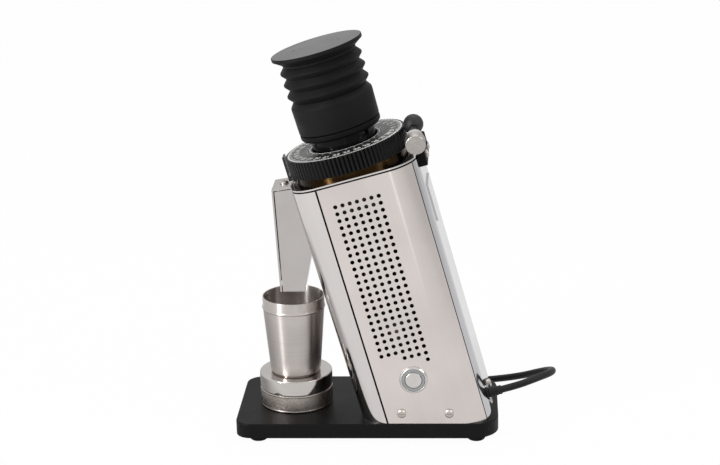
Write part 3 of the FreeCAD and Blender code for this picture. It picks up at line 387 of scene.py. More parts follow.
EFFECTS = EffectGroups()
MATERIALS: dict[str, bpy.types.Material] = {}


@dataclass(frozen=True)
class Finish:
    """A surface finish, in the terms of one shader.

    The colour darkens in the patches of handling marks, roughness goes from its first to its second value
    there and with the fine pattern, and the pattern's height goes to the bump.
    """

    name: str
    colour: Colour
    roughness: tuple[float, float]
    metallic: float
    worn: float
    patch_scale: float
    pattern: Pattern
    pattern_scale: float
    pattern_depth: float
    pattern_shade: float
    centre: Point = ORIGIN
    turn: Point = ORIGIN
    anisotropic: float = 0.0
    turned_about: str = ""
    transmission: float = 0.0
    specular: float = 0.5

    def centred(self, place: Sequence[float]) -> "Finish":
        """The same finish, its pattern centred on a point of the part in millimetres."""
        return replace(self, centre=tuple(MM * part for part in place))

    def material(self) -> bpy.types.Material:
        """The material of this finish, made once.

        Returns:
            The material.
        """
        if self.name in MATERIALS:
            return MATERIALS[self.name]
        made = bpy.data.materials.new("finish_" + self.name)
        MATERIALS[self.name] = made
        made.use_nodes = True
        made.diffuse_color = linear(self.colour)
        nodes = Nodes(made.node_tree)
        shader = made.node_tree.nodes["Principled BSDF"]
        nodes.feed(shader, {"Metallic": self.metallic, "Anisotropic": self.anisotropic,
                            "Anisotropic Rotation": GRAIN_TURN, "Transmission Weight": self.transmission,
                            "Specular IOR Level": self.specular})
        if self.turned_about:
            tangent = nodes.add("Tangent", {}, direction_type="RADIAL", axis=self.turned_about)
            nodes.feed(shader, {"Tangent": tangent.outputs["Tangent"]})
        where = nodes.add("Mapping", {"Vector": nodes.read("TexCoord", "Object"), "Location": self.centre,
                                      "Rotation": self.turn}, vector_type="TEXTURE").outputs["Vector"]
        patches, height = (nodes.add("Group", {"Vector": where, "Scale": scale}, node_tree=group).outputs[0]
                           for group, scale in ((EFFECTS.handling_marks(), self.patch_scale),
                                                (EFFECTS.pattern(self.pattern), self.pattern_scale)))
        bump = nodes.add("Bump", {"Strength": 1.0, "Distance": self.pattern_depth, "Height": height})
        total = nodes.math("ADD", patches, height)
        nodes.feed(shader, {"Base Color": self.shaded(nodes, patches, height),
                            "Roughness": nodes.ranged(total, 0.0, 2.0, *self.roughness),
                            "Normal": bump.outputs["Normal"]})
        return made

    def shaded(self, nodes: Nodes, patches: Socket, height: Socket) -> Socket:
        """The base colour: the finish, darker in its patches and between its lines.

        Args:
            nodes: The material's nodes.
            patches: The mask of the handling marks.
            height: The height of the fine pattern.

        Returns:
            The socket of the colour.
        """
        plain = linear(self.colour)
        dark = tuple(part * self.worn for part in plain[:3]) + (1.0,)
        lines = nodes.ranged(height, 0.0, 1.0, self.pattern_shade, 0.0)
        return nodes.mixed(lines, nodes.mixed(patches, plain, dark), (0.0, 0.0, 0.0, 1.0), "MULTIPLY")


LEAN_CENTRE = tuple(MM * part for part in LEANING.origin)
ON_LEAN = (LEAN_CENTRE, (0.0, -math.radians(LEAN_DEGREES), 0.0))
ACROSS_LEAN = (LEAN_CENTRE, (0.0, math.radians(90.0 - LEAN_DEGREES), 0.0))
FACING_NEAR = (math.radians(90.0), 0.0, 0.0)

BLACK_METAL = Finish("satin_black_metal", (12, 12, 13), (0.38, 0.52), 0.0, 0.85, 18.0, SPECKLE, 2600.0,
                     0.00003, 0.15, specular=0.13)
BLACK_RUBBER = Finish("black_rubber", (21, 21, 21), (0.48, 0.66), 0.0, 0.8, 55.0, SPECKLE, 1800.0, 0.00004,
                      0.2, specular=0.12)
LEAD_SHEATH = Finish("lead_sheath", (19, 19, 20), (0.4, 0.55), 0.0, 0.85, 70.0, SPECKLE, 2500.0, 0.00002, 0.1,
                     specular=0.25)
# Lid face: black plastic with a faint lavender tint, a painted sheen.
LID_PLASTIC_PAINTED_SHEEN = Finish("lid_plastic_painted_sheen", (26, 25, 28), (0.2, 0.32), 0.0, 0.88, 30.0, SPECKLE, 3000.0, 0.00001, 0.1,
                     specular=0.85)
# Cam ball: black rubber lifted to dark grey, lighter than the other matt blacks, a painted light.
CAM_RUBBER_PAINTED_LIGHT = Finish("cam_rubber_painted_light", (44, 44, 45), (0.42, 0.58), 0.0, 0.85, 90.0, SPECKLE, 1800.0, 0.00003, 0.2,
                    specular=0.3)
GLOSS_BLACK = Finish("gloss_black", (8, 8, 9), (0.06, 0.12), 0.0, 0.9, 30.0, SPECKLE, 700.0, 0.000004, 0.05,
                     specular=0.12)
MATT_BLACK = Finish("matt_black", (14, 14, 14), (0.5, 0.66), 0.0, 0.85, 40.0, SPECKLE, 1600.0, 0.00004, 0.15,
                    specular=0.1)
BLACK_ALUMINIUM = Finish("black_aluminium", (10, 10, 11), (0.24, 0.36), 0.0, 0.85, 40.0, TURNED, 1600.0,
                         0.00001, 0.1, *ON_LEAN, specular=0.18)
DIAL_BLACK = Finish("dial_black", (30, 30, 31), (0.3, 0.44), 0.0, 0.85, 40.0, TURNED, 2200.0, 0.00001, 0.25,
                    *ON_LEAN, specular=0.8)
DIAL_WHITE = Finish("dial_white", (238, 237, 234), (0.5, 0.6), 0.0, 0.94, 200.0, SPECKLE, 4000.0, 0.00001,
                    0.05)
POLISHED_STEEL = Finish("polished_steel", (216, 211, 209), (0.05, 0.13), 1.0, 0.95, 14.0, BRUSHED, 900.0,
                        0.000004, 0.03, *ACROSS_LEAN)
# Rear cover and rear plate: a darker, bluish copy of the polished steel, painted shade with a painted bluish
# reflection.
REAR_STEEL_PAINTED_SHADE = replace(POLISHED_STEEL, name="rear_steel_painted_shade", colour=(199, 198, 201))
PANEL_STEEL = Finish("panel_steel", (222, 214, 210), (0.1, 0.2), 1.0, 0.9, 10.0, BRUSHED, 900.0, 0.000006,
                     0.04, *ACROSS_LEAN)
# Index plate: polished steel darkened to near black, a painted shade for its dark edge.
STEEL_PAINTED_SHADE = Finish("steel_painted_shade", (62, 60, 59), (0.18, 0.3), 1.0, 0.85, 80.0, BRUSHED, 1200.0, 0.000006, 0.1,
                    *ACROSS_LEAN)
CHUTE_STEEL = Finish("chute_steel", (194, 189, 186), (0.14, 0.26), 1.0, 0.94, 20.0, BRUSHED, 1100.0,
                     0.000006, 0.05)
STEEL = Finish("steel", (170, 169, 167), (0.25, 0.4), 1.0, 0.88, 40.0, TURNED, 1000.0, 0.00001, 0.1, *ON_LEAN)
CHROME = Finish("chrome", (226, 224, 222), (0.06, 0.14), 1.0, 0.94, 60.0, SPECKLE, 900.0, 0.000004, 0.03)
SCREW_STEEL = Finish("screw_steel", (204, 197, 192), (0.3, 0.44), 1.0, 0.88, 120.0, SPECKLE, 1600.0,
                     0.000008, 0.1)
# Handle drum: the handle's chrome made darker than on its cone, painted shade; the turned lines are its own
# grain.
TURNED_CHROME_PAINTED_SHADE = Finish("turned_chrome_painted_shade", (180, 175, 171), (0.2, 0.32), 1.0, 0.92, 60.0, TURNED, 1800.0,
                       0.000012, 0.12, turn=FACING_NEAR, anisotropic=0.85, turned_about="Y")
BUTTON_STEEL = Finish("button_steel", (214, 211, 208), (0.16, 0.3), 1.0, 0.93, 90.0, TURNED, 2600.0, 0.000008,
                      0.1, turn=FACING_NEAR, anisotropic=0.7, turned_about="Y")
PLATFORM_STEEL = Finish("platform_steel", (202, 197, 193), (0.05, 0.14), 1.0, 0.95, 30.0, TURNED, 1300.0,
                        0.000003, 0.05)
CUP_STEEL = Finish("brushed_steel", (206, 199, 195), (0.26, 0.38), 1.0, 0.93, 25.0, TURNED, 1500.0, 0.00001,
                   0.12, anisotropic=0.9, turned_about="Z")
KNURLED_STEEL = Finish("knurled_steel", (194, 185, 178), (0.22, 0.36), 1.0, 0.9, 40.0, SPECKLE, 1500.0,
                       0.00001, 0.1)
PIN_NICKEL = Finish("pin_nickel", (205, 199, 188), (0.15, 0.28), 1.0, 0.92, 80.0, BRUSHED, 900.0, 0.000005,
                    0.05)
# The works' cast aluminium is darkened to a dim grey, painted shade inside the shell behind the vents.
CAST_ALUMINIUM_PAINTED_SHADE = Finish("cast_aluminium", (92, 92, 92), (0.4, 0.6), 1.0, 0.85, 30.0, SPECKLE, 900.0, 0.00005,
                        0.15)
BRASS = Finish("brass", (181, 140, 76), (0.22, 0.34), 1.0, 0.85, 40.0, TURNED, 900.0, 0.00002, 0.15)
# Thread collar: brass darkened almost to black, a painted shade for the shadow the ring casts on it.
BRASS_PAINTED_SHADE = Finish("brass_painted_shade", (54, 40, 22), (0.16, 0.3), 1.0, 0.55, 60.0, TURNED, 900.0, 0.00002, 0.3,
                    *ON_LEAN)
BOARD_GREEN = Finish("board_green", (38, 92, 58), (0.35, 0.5), 0.0, 0.8, 60.0, BRUSHED, 600.0, 0.00003, 0.2)
LIGHT_RING = Finish("light_ring", (150, 150, 152), (0.3, 0.42), 0.0, 0.94, 80.0, SPECKLE, 2500.0, 0.00001,
                    0.04, specular=0.3)
CLEAR_FLAP = Finish("clear_flap", (232, 234, 235), (0.15, 0.3), 0.0, 0.96, 60.0, SPECKLE, 900.0, 0.00001,
                    0.03, transmission=0.85)


def new_object(name: str, data: bpy.types.ID) -> bpy.types.Object:
    """An object put into the scene, at the origin."""
    made = bpy.data.objects.new(name, data)
    bpy.context.scene.collection.objects.link(made)
    return made


def attach(piece: bpy.types.Object, slot: str, body: str, *nodes: str) -> None:
    """Gives a piece its body and hides the CAD nodes that it stands for.

    Args:
        piece: The piece's object.
        slot: The record's material slot; not used.
        body: The body that it rides on.
        nodes: The CAD nodes that it replaces.
    """
    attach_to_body(piece, body)
    if nodes:
        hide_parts(*nodes)
    LOG.info("%s: rides on %s", piece.name, body)


def new_piece(name: str, surface: Surface, finish: Finish, slot: str, body: str,
              *nodes: str) -> bpy.types.Object:
    """A mesh piece that rides on a body and stands for CAD nodes.

    Args:
        name: The piece's name.
        surface: Its surface in the part's frame, in millimetres.
        finish: Its finish.
        slot: The record's material slot.
        body: The body that it rides on.
        nodes: The CAD nodes that it replaces.

    Returns:
        The piece's object, at the origin.
    """
    mesh = bpy.data.meshes.new(name)
    mesh.from_pydata((surface.vertices * MM).tolist(), [], surface.faces)
    mesh.validate()
    mesh.shade_smooth()
    mesh.set_sharp_from_angle(angle=math.radians(SHARP_DEGREES))
    mesh.materials.append(finish.material())
    piece = new_object(name, mesh)
    attach(piece, slot, body, *nodes)
    return piece


def dress(finish: Finish, *nodes: str) -> None:
    """Gives CAD nodes a finish.

    Args:
        finish: The finish.
        nodes: The nodes' names.
    """
    for name in nodes:
        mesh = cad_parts[name].data
        mesh.materials.clear()
        mesh.materials.append(finish.material())
        LOG.info("%s: %s", name, finish.name)


# Camera, floor and light
def aim(item: bpy.types.Object, axes: np.ndarray, place: Sequence[float]) -> None:
    """Turns a camera or a lamp and puts it in its place.

    Args:
        item: The object.
        axes: Its axes as columns: right, up and back.
        place: Its place, in metres.
    """
    matrix = np.eye(4)
    matrix[:3, :3] = axes
    matrix[:3, 3] = place
    item.matrix_world = Matrix(matrix.tolist())


@dataclass(frozen=True)
class Viewpoint:
    """The camera at the photograph's viewing angle."""

    position: Point = (85.0, -1458.2, 639.0)
    azimuth: float = 3.516
    elevation: float = 17.413
    roll: float = -1.442
    focal_pixels: float = 1712.0
    image_width: float = 720.0
    sensor: float = 36.0

    def rotation(self) -> np.ndarray:
        """The camera's axes as columns: right, up and back.

        Returns:
            A three by three array.
        """
        azimuth, elevation, roll = np.radians((self.azimuth, self.elevation, self.roll))
        level = math.cos(elevation)
        back = np.array((math.sin(azimuth) * level, -math.cos(azimuth) * level, math.sin(elevation)))
        right = unit(np.cross(-back, UP))
        up = np.cross(right, -back)
        across = math.cos(roll) * right + math.sin(roll) * up
        above = -math.sin(roll) * right + math.cos(roll) * up
        return np.stack((across, above, back), axis=-1)

    def build(self) -> None:
        """Makes the camera and gives it to the scene."""
        data = bpy.data.cameras.new("camera")
        data.sensor_width = self.sensor
        data.lens = self.focal_pixels * self.sensor / self.image_width
        camera = new_object("camera", data)
        aim(camera, self.rotation(), np.asarray(self.position) * MM)
        bpy.context.scene.camera = camera


@dataclass(frozen=True)
class Softbox:
    """A soft studio lamp that looks at the object."""

    name: str
    place: Point
    wide: float
    tall: float
    power: float

    def build(self, target: Point) -> None:
        """Makes the lamp.

        Args:
            target: The point it looks at, in metres.
        """
        data = bpy.data.lights.new(self.name, "AREA")
        data.shape = "RECTANGLE"
        data.size = self.wide
        data.size_y = self.tall
        data.energy = self.power
        back = Axes.along(ORIGIN, np.asarray(self.place) - np.asarray(target))
        aim(new_object(self.name, data), np.asarray(back.axes).T, self.place)


@dataclass(frozen=True)
class Studio:
    """Pale floor, white surroundings and soft lamps."""

    floor_half: float = 6.0
    floor_colour: Colour = (244, 244, 244)
    floor_rough: float = 0.9
    floor_shine: float = 0.1
    floor_white: float = 0.97
    floor_mirrored: float = 0.62
    floor_glow: float = 0.93
    # The shade fields paint a shadow into the floor's glow, seen only in mirrors.
    shade_centre: Point = (-0.14, 0.13, 0.0)
    shade_reach: tuple[float, float] = (0.2, 0.19)
    shade_edge: tuple[float, float] = (0.7, 1.2)
    shade_glow: float = 0.08
    ambient: float = 0.5
    sky_low: float = 0.62
    sky_high: float = 1.0
    sky_top: float = 0.8
    target: Point = (0.02, 0.0, 0.18)
    lamps: tuple[Softbox, ...] = (
        Softbox("lamp_left", (-1.3, -1.1, 1.5), 0.9, 0.9, 9.0),
        Softbox("lamp_right", (1.6, -0.6, 1.3), 1.0, 1.0, 8.0),
        Softbox("lamp_top", (0.0, 0.5, 1.9), 1.2, 1.2, 8.0),
        Softbox("lamp_strip", (-1.3, -1.12, 0.55), 0.12, 1.0, 14.0),
        Softbox("lamp_low", (0.065, -0.52, 0.02), 0.035, 0.65, 0.03),
    )

    def build(self) -> None:
        """Makes the floor, the world and the lamps."""
        self.build_floor()
        self.build_world()
        for lamp in self.lamps:
            lamp.build(self.target)
        bpy.context.scene.view_settings.view_transform = "Standard"

    @staticmethod
    def seen(nodes: Nodes, direct: float, mirrored: float) -> Socket:
        """A number that depends on the ray.

        Args:
            nodes: The tree's nodes.
            direct: The number for rays from the camera.
            mirrored: The number for rays from metal and glass.

        Returns:
            The socket of the number, which is nought for all other rays.
        """
        path = nodes.add("LightPath", {}).outputs
        either = nodes.math("MAXIMUM", path["Is Glossy Ray"], path["Is Transmission Ray"])
        straight = nodes.math("MULTIPLY", path["Is Camera Ray"], direct)
        return nodes.math("MAXIMUM", straight, nodes.math("MULTIPLY", either, mirrored))

    def build_floor(self) -> None:
        """Makes the floor: pale paint that takes the shadow, lifted towards white where it is seen."""
        half = self.floor_half
        corners = [(-half, -half, 0.0), (half, -half, 0.0), (half, half, 0.0), (-half, half, 0.0)]
        mesh = bpy.data.meshes.new("floor")
        mesh.from_pydata(corners, [], [[0, 1, 2, 3]])
        material = bpy.data.materials.new("floor_paint")
        material.use_nodes = True
        nodes = Nodes(material.node_tree)
        shader = material.node_tree.nodes["Principled BSDF"]
        nodes.feed(shader, {"Base Color": linear(self.floor_colour), "Roughness": self.floor_rough,
                            "Specular IOR Level": self.floor_shine})
        glow = nodes.add("Emission", {"Strength": self.glow_level(nodes)})
        share = self.seen(nodes, self.floor_white, self.floor_mirrored)
        blend = nodes.add("MixShader", {0: share, 1: shader.outputs[0], 2: glow.outputs[0]})
        nodes.feed(material.node_tree.nodes["Material Output"], {"Surface": blend.outputs[0]})
        mesh.materials.append(material)
        new_object("floor", mesh)

    def glow_level(self, nodes: Nodes) -> Socket:
        """How bright the floor glows: white to the camera, in mirrors dimmer in a painted shade behind the
        cup.

        The painted shade is an ellipse round its centre, with a soft edge.

        Args:
            nodes: The floor material's nodes.

        Returns:
            The socket of the strength.
        """
        # Painted shadow: the glow seen in mirrors is lowered inside this ellipse behind the cup.
        away = nodes.vector("SUBTRACT", nodes.read("TexCoord", "Object"), self.shade_centre)
        wide, deep = self.shade_reach
        reach = nodes.length(nodes.vector("MULTIPLY", away, (1.0 / wide, 1.0 / deep, 0.0)))
        level = nodes.ranged(reach, *self.shade_edge, self.shade_glow, self.floor_glow)
        return nodes.math("MAXIMUM", nodes.read("LightPath", "Is Camera Ray"), level)

    def build_world(self) -> None:
        """Makes the world: white to the camera, paler overhead than low down in mirrors, dimmer as light."""
        world = bpy.data.worlds.new("studio")
        world.use_nodes = True
        nodes = Nodes(world.node_tree)
        height = nodes.add("SeparateXYZ", {0: nodes.read("TexCoord", "Generated")}).outputs["Z"]
        sky = nodes.ranged(height, 0.0, self.sky_top, self.sky_low, self.sky_high)
        mirrored = nodes.math("MULTIPLY", self.seen(nodes, 0.0, 1.0), sky)
        direct = nodes.ranged(self.seen(nodes, 1.0, 0.0), 0.0, 1.0, self.ambient, 1.0)
        nodes.feed(world.node_tree.nodes["Background"], {"Strength": nodes.math("MAXIMUM", mirrored, direct),
                                                         "Color": (1.0, 1.0, 1.0, 1.0)})
        bpy.context.scene.world = world


# Mains lead
@dataclass
class Lead:
    """Strain relief, cord with its tied coil, and plug."""

    radius: float = 3.25
    cord_order: int = 3
    cord_steps: int = 5
    body_rear: float = 60.5
    gland_v: float = -28.0
    gland_z: float = 37.4
    gland_long: float = 14.0
    gland_inside: float = 6.0
    gland_flange: float = 5.6
    gland_flange_thick: float = 1.2
    gland_waist: tuple[float, float] = (0.3, 1.3)
    gland_root: float = 4.6
    gland_tip: float = 3.9
    gland_edge: float = 0.2
    gland_ribs: int = 4
    rib_deep: float = 0.35
    rib_share: tuple[float, float] = (0.2, 0.8)
    gland_plain: float = 2.0
    first: float = 15.0
    last: float = 55.0
    real_length: float = 1460.0
    coil_centre: tuple[float, float] = (31.0, 125.0)
    coil_outer: float = 45.0
    coil_pitch: float = 7.4
    turns: float = 2.5
    climb: float = 0.5
    points_each_turn: int = 24
    close_turn: float = 1e-4
    rest_z: float = 4.85
    route: tuple[Point, ...] = ((153.0, -20.0, 48.6), (166.3, -4.2, 47.2), (169.8, 16.5, 42.0),
                                (161.3, 41.0, 31.0), (138.0, 65.0, 15.0))
    tie_wide: float = 10.0
    tie_thick: float = 1.2
    tie_gap: float = 0.3
    tie_easing: float = 0.5
    tie_power: float = 6.0
    tie_columns: int = 160
    plug_neck: float = 15.0
    plug_long: float = 30.0
    plug_radius: float = 9.5
    plug_relief: Corners = ((3.75, 0.0), (4.1, 2.0), (3.6, 3.0), (4.5, 4.5), (4.5, 6.0), (3.8, 7.0),
                            (4.9, 8.5), (4.9, 10.0), (4.2, 11.0), (5.25, 12.5))
    plug_root: float = 6.4
    plug_shoulder: float = 4.0
    plug_grip: float = 0.6
    grip_low: float = 9.0
    grip_high: float = 18.0
    grip_slope: float = 1.0
    pin_long: float = 18.0
    pin_inside: float = 4.0
    pin_radius: float = 2.3
    pin_half: float = 6.0

    def gland_axes(self) -> Axes:
        """The frame where the lead leaves the rear cover, its third axis square to the cover."""
        height = (self.gland_z - LEANING.origin[2] - self.body_rear * LEAN_SIN) / LEAN_COS
        return Axes.along(LEANING.points((self.body_rear, self.gland_v, height)), LEANING.axes[0])

    def coil(self, t: np.ndarray) -> np.ndarray:
        """Points of the coil: a flat spiral in, a climb of one layer, and a spiral out above it.

        At turn t the radius is the outer one less the pitch times the turns made inwards, and the height
        follows a smooth step from the first layer to the second.

        Args:
            t: Turns made from the outer end of the lower layer.

        Returns:
            Points in millimetres.
        """
        middle = self.turns + self.climb / 2
        inward = np.minimum(t, middle) - np.maximum(t - middle, 0.0)
        rise = np.clip((t - self.turns) / self.climb, 0.0, 1.0)
        height = self.rest_z + self.coil_pitch * rise ** 2 * (3 - 2 * rise)
        spiral = polar(self.coil_outer - self.coil_pitch * inward, -np.pi / 2 - 2 * np.pi * t, height)
        return spiral + np.array((*self.coil_centre, 0.0))

    def points(self) -> np.ndarray:
        """The cord's control points: out of the strain relief, round the body, into the coil.

        The coil is entered and left along its own direction, taken from two close points at each end.

        Returns:
            Points in millimetres.
        """
        tip = self.gland_long
        out = self.gland_axes().points([(0.0, 0.0, tip), (0.0, 0.0, tip + self.first)])
        total = 2 * self.turns + self.climb
        coil = self.coil(np.linspace(0.0, total, int(round(total * self.points_each_turn)) + 1))
        close = self.coil(np.array((0.0, self.close_turn, total - self.close_turn, total)))
        inward = unit(close[1] - close[0])
        outward = unit(close[3] - close[2])
        lead_in = coil[0] - inward * 2 * self.radius
        lead_out = coil[-1] + outward * 2 * self.radius
        return np.vstack((out, self.route, lead_in - inward * self.last, coil, lead_out))

    def build(self) -> None:
        """Makes the cord first, then what is on it."""
        points = self.points()
        curve = bpy.data.curves.new("lead_cord", "CURVE")
        curve.dimensions = "3D"
        curve.bevel_depth = self.radius * MM
        curve.bevel_resolution = self.cord_steps
        curve.use_fill_caps = True
        spline = curve.splines.new("NURBS")
        spline.points.add(len(points) - 1)
        spline.points.foreach_set("co", np.column_stack((points * MM, np.ones(len(points)))).ravel())
        spline.order_u = self.cord_order
        spline.use_endpoint_u = True
        spline.resolution_u = self.cord_steps
        curve.materials.append(LEAD_SHEATH.material())
        cord = new_object("lead_cord", curve)
        attach(cord, "black_rubber", "frame", "cord", "cord_coil")
        self.build_relief()
        pieces = [self.build_tie()] + self.build_plug(points[-2], points[-1])

    def build_relief(self) -> None:
        """Makes the tapered strain relief with its flange and ribs."""
        start, end, root = self.gland_plain, self.gland_long, self.gland_root
        step = (end - start) / self.gland_ribs
        tip, edge = self.gland_tip, self.gland_edge
        waist, waist_high = self.gland_waist
        rise, fall = self.rib_share
        line = [(0.0, -self.gland_inside), (root, -self.gland_inside), (root, 0.0), (self.gland_flange, 0.0),
                (self.gland_flange, self.gland_flange_thick), (root - waist, waist_high)]
        for rib, reach in enumerate(np.linspace(root, tip, self.gland_ribs + 1)[:-1]):
            low = start + rib * step
            line += [(reach - self.rib_deep, low), (reach, low + rise * step), (reach, low + fall * step)]
        line += [(tip - edge, end - edge), (tip - 2 * edge, end), (0.0, end)]
        surface = Surface.lathed(line, easing=0.35, steps=4, segments=64).placed(self.gland_axes())
        new_piece("lead_relief", surface, LEAD_SHEATH, "black_rubber", "frame", "cord_gland")

    def build_tie(self) -> bpy.types.Object:
        """Makes the strap round the strands.

        Its path is the rounded box |y/a|^n + |z/b|^n = 1 with n = 6; along it goes a flat section with eased
        edges.

        Returns:
            The piece.
        """
        reach = self.coil_pitch * (self.turns + self.climb / 2) / 2
        high = self.coil_pitch / 2
        thin = self.tie_thick / 2
        margin = self.radius + self.tie_gap + thin
        angle = around(self.tie_columns)
        wave = np.stack((np.cos(angle), np.sin(angle)), axis=-1)
        path = (reach + margin, high + margin) * np.sign(wave) * np.abs(wave) ** (2.0 / self.tie_power)
        ahead = np.roll(path, -1, axis=0) - np.roll(path, 1, axis=0)
        normal = np.stack((ahead[:, 1], -ahead[:, 0]), axis=-1)
        normal = normal / np.linalg.norm(normal, axis=1, keepdims=True)
        half = self.tie_wide / 2
        corners = [(-half, -thin), (half, -thin), (half, thin), (-half, thin)]
        section = eased(corners, self.tie_easing, steps=4)
        ring = path[:, None, :] + normal[:, None, :] * section[None, :, 1:]
        along = np.broadcast_to(section[None, :, :1], (*ring.shape[:2], 1))
        centre = (self.coil_centre[0], self.coil_centre[1] + self.coil_outer - reach, self.rest_z + high)
        surface = Surface.grid(np.concatenate((along, ring), axis=-1) + centre)
        return new_piece("lead_tie", surface, MATT_BLACK, "black_rubber", "frame", "cord_tie")

    def build_plug(self, before: np.ndarray, start: np.ndarray) -> list[bpy.types.Object]:
        """Makes the moulded plug and its pins at the cord's end.

        Args:
            before: The cord's last point but one.
            start: Its last point.

        Returns:
            The plug and its pins.
        """
        axes = Axes.along(start, start - before)
        neck, wide = self.plug_neck, self.plug_radius
        waist = wide - self.plug_grip
        face = neck + self.plug_long
        low, high, slope = neck + self.grip_low, neck + self.grip_high, self.grip_slope
        line = [(0.0, 0.0), *self.plug_relief, (self.plug_root, neck), (wide, neck + self.plug_shoulder),
                (wide, low), (waist, low + slope), (waist, high), (wide, high + slope), (wide, face),
                (0.0, face)]
        thin, root, tip = self.pin_radius, face - self.pin_inside, face + self.pin_long
        pin = Surface.lathed([(0.0, root), (thin, root), (thin, tip), (0.0, tip)], easing=1.4, segments=32)
        pins = [pin.placed(Axes((side, 0.0, 0.0))).placed(axes) for side in (-self.pin_half, self.pin_half)]
        body = Surface.lathed(line, easing=0.8, steps=5, segments=72).placed(axes)
        return [new_piece("lead_plug", body, LEAD_SHEATH, "matt_black", "frame", "plug"),
                new_piece("lead_plug_pins", Surface.joined(pins), PIN_NICKEL, "steel", "frame")]


# Bellows hopper
@dataclass
class BellowsHopper:
    """Neck, seat, boot, bellows and lid on the leaning axis."""

    neck: float = 28.5
    neck_wall: float = 2.5
    neck_low: float = -6.0
    neck_high: float = 38.0
    flange: float = 35.0
    flange_high: float = 2.0
    seat_gap: float = 0.05
    seat_radius: float = 36.2
    seat_low: float = 9.6
    seat_high: float = 15.9
    seat_chamfer: tuple[float, float] = (2.4, 2.2)
    boot_gap: float = 0.3
    boot_low: float = 16.4
    boot_radius: float = 36.8
    boot_shoulder: float = 40.6
    boot_high: float = 46.0
    boot_taper: float = 0.5
    boot_lap: float = 0.2
    valley: float = 32.7
    crest: float = 36.9
    crest_share: tuple[float, float] = (0.45, 0.55)
    fold_easing: float = 0.55
    pitch: float = 10.55
    folds: int = 3
    wall: float = 1.8
    lid_radius: float = 40.8
    lid_neck: float = 33.0
    lid_neck_high: float = 6.6
    lid_collar: float = 2.2
    lid_lip: tuple[float, float] = (1.6, 0.9)
    lid_thick: float = 4.6
    dome: float = 0.5
    face_edge: float = 0.4
    face_inset: float = 0.3
    face_deep: float = 1.0
    face_lift: float = 0.03
    face_step: float = 0.6
    dimple_reach: float = 20.0
    dimple_wide: float = 1.0
    dimple_deep: float = 0.7
    press: float = 18.0

    def build(self) -> None:
        """Makes the pieces from the neck upwards."""
        self.build_neck()
        self.build_boot()
        self.build_bellows()
        self.build_lid()

    def build_neck(self) -> None:
        """Makes the glossy neck with its flange, and the seat ring on it."""
        inner, low, high = self.neck - self.neck_wall, self.neck_low, self.neck_high
        neck = [(inner, low), (self.flange, low), (self.flange, low + self.flange_high),
                (self.neck, low + self.flange_high), (self.neck, high), (inner, high)]
        new_piece("hopper_neck_turned", Surface.lathed(neck, easing=0.5).placed(LEANING), GLOSS_BLACK,
                  "gloss_black", "burr_carrier", "hopper_neck")
        bore, wide, low, high = self.neck + self.seat_gap, self.seat_radius, self.seat_low, self.seat_high
        inset, rise = self.seat_chamfer
        seat = [(bore, low), (wide - inset, low), (wide, low + rise), (wide, high), (bore, high)]
        new_piece("hopper_seat_turned", Surface.lathed(seat, easing=0.9).placed(LEANING), MATT_BLACK,
                  "matt_black", "burr_carrier", "hopper_seat")

    def build_boot(self) -> None:
        """Makes the rubber boot: slightly wider at its shoulder, then a cone in to the bellows."""
        bore, inside = self.neck + self.boot_gap, self.valley - self.wall
        shoulder, high = self.boot_shoulder, self.boot_high
        low, wide = self.boot_low, self.boot_radius
        boot = [(bore, low), (wide - self.boot_taper, low), (wide, shoulder),
                (self.valley + self.boot_lap, high), (inside, high), (inside, shoulder), (bore, shoulder)]
        new_piece("bellows_boot_moulded", Surface.lathed(boot, easing=1.1).placed(LEANING), BLACK_RUBBER,
                  "black_rubber", "bellows_unit", "bellows_boot")

    def build_bellows(self) -> None:
        """Makes the convolutions.

        Each fold runs straight from a valley to a flat crest and back, with its corners eased; the inside
        follows one wall below.
        """
        first, last = self.crest_share
        line = [(radius, self.boot_high + self.pitch * (fold + share)) for fold in range(self.folds)
                for radius, share in ((self.valley, 0.0), (self.crest, first), (self.crest, last))]
        line.append((self.valley, self.boot_high + self.pitch * self.folds))
        outside = eased(line, self.fold_easing, steps=5, closed=False)
        inside = outside[::-1] - (self.wall, 0.0)
        surface = Surface.turned(np.vstack((outside, inside)), segments=160).placed(LEANING)
        piece = new_piece("bellows_folds", surface, BLACK_RUBBER, "black_rubber", "bellows_unit", "bellows")
        anchor = LEANING.points((0.0, 0.0, self.boot_high)) * MM
        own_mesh(piece)

    def build_lid(self) -> None:
        """Makes the lid: a cone under a thick rim, and the satin face let into its top."""
        low = self.boot_high + self.folds * self.pitch
        rim_low = low + self.lid_neck_high
        level = rim_low + self.lid_thick - self.dome
        wide, neck = self.lid_radius, self.lid_neck
        inset, rise = self.lid_lip
        line = [(0.0, low), (neck, low), (neck, low + self.lid_collar), (wide - inset, rim_low),
                (wide, rim_low + rise), (wide, level), (0.0, level)]
        surface = Surface.lathed(line, easing=0.6, steps=5, segments=180).placed(LEANING)
        new_piece("bellows_lid_moulded", surface, BLACK_RUBBER, "black_rubber", "lid", "bellows_lid")
        self.build_lid_face(level)

    def build_lid_face(self, level: float) -> None:
        """Makes the lid's face.

        At radius r it stands dome (1 - (r / R)^2) above its edge, less two round hollows of bell shape on the
        first axis.

        Args:
            level: Height of its edge.
        """
        edge = self.lid_radius - self.face_edge
        reach = edge - self.face_inset
        radius = np.linspace(reach, 0.0, int(reach / self.face_step) + 2)
        top = np.stack((radius, np.full(len(radius), level + self.face_lift)), axis=-1)
        low = level - self.face_deep
        line = np.vstack(((0.0, low), (edge, low), (edge, level), top))
        surface = Surface.turned(line, segments=256)
        x, y, z = surface.vertices.T
        crown = self.dome * (1.0 - (x ** 2 + y ** 2) / self.lid_radius ** 2)
        for side in (-self.dimple_reach, self.dimple_reach):
            crown = crown - self.dimple_deep * np.exp(-((x - side) ** 2 + y ** 2) / self.dimple_wide ** 2)
        surface.vertices[:, 2] += np.where(z > level + self.face_lift / 2, crown, 0.0)
        new_piece("bellows_lid_face", surface.placed(LEANING), LID_PLASTIC_PAINTED_SHEEN, "black_rubber", "lid",
                  "bellows_lid")


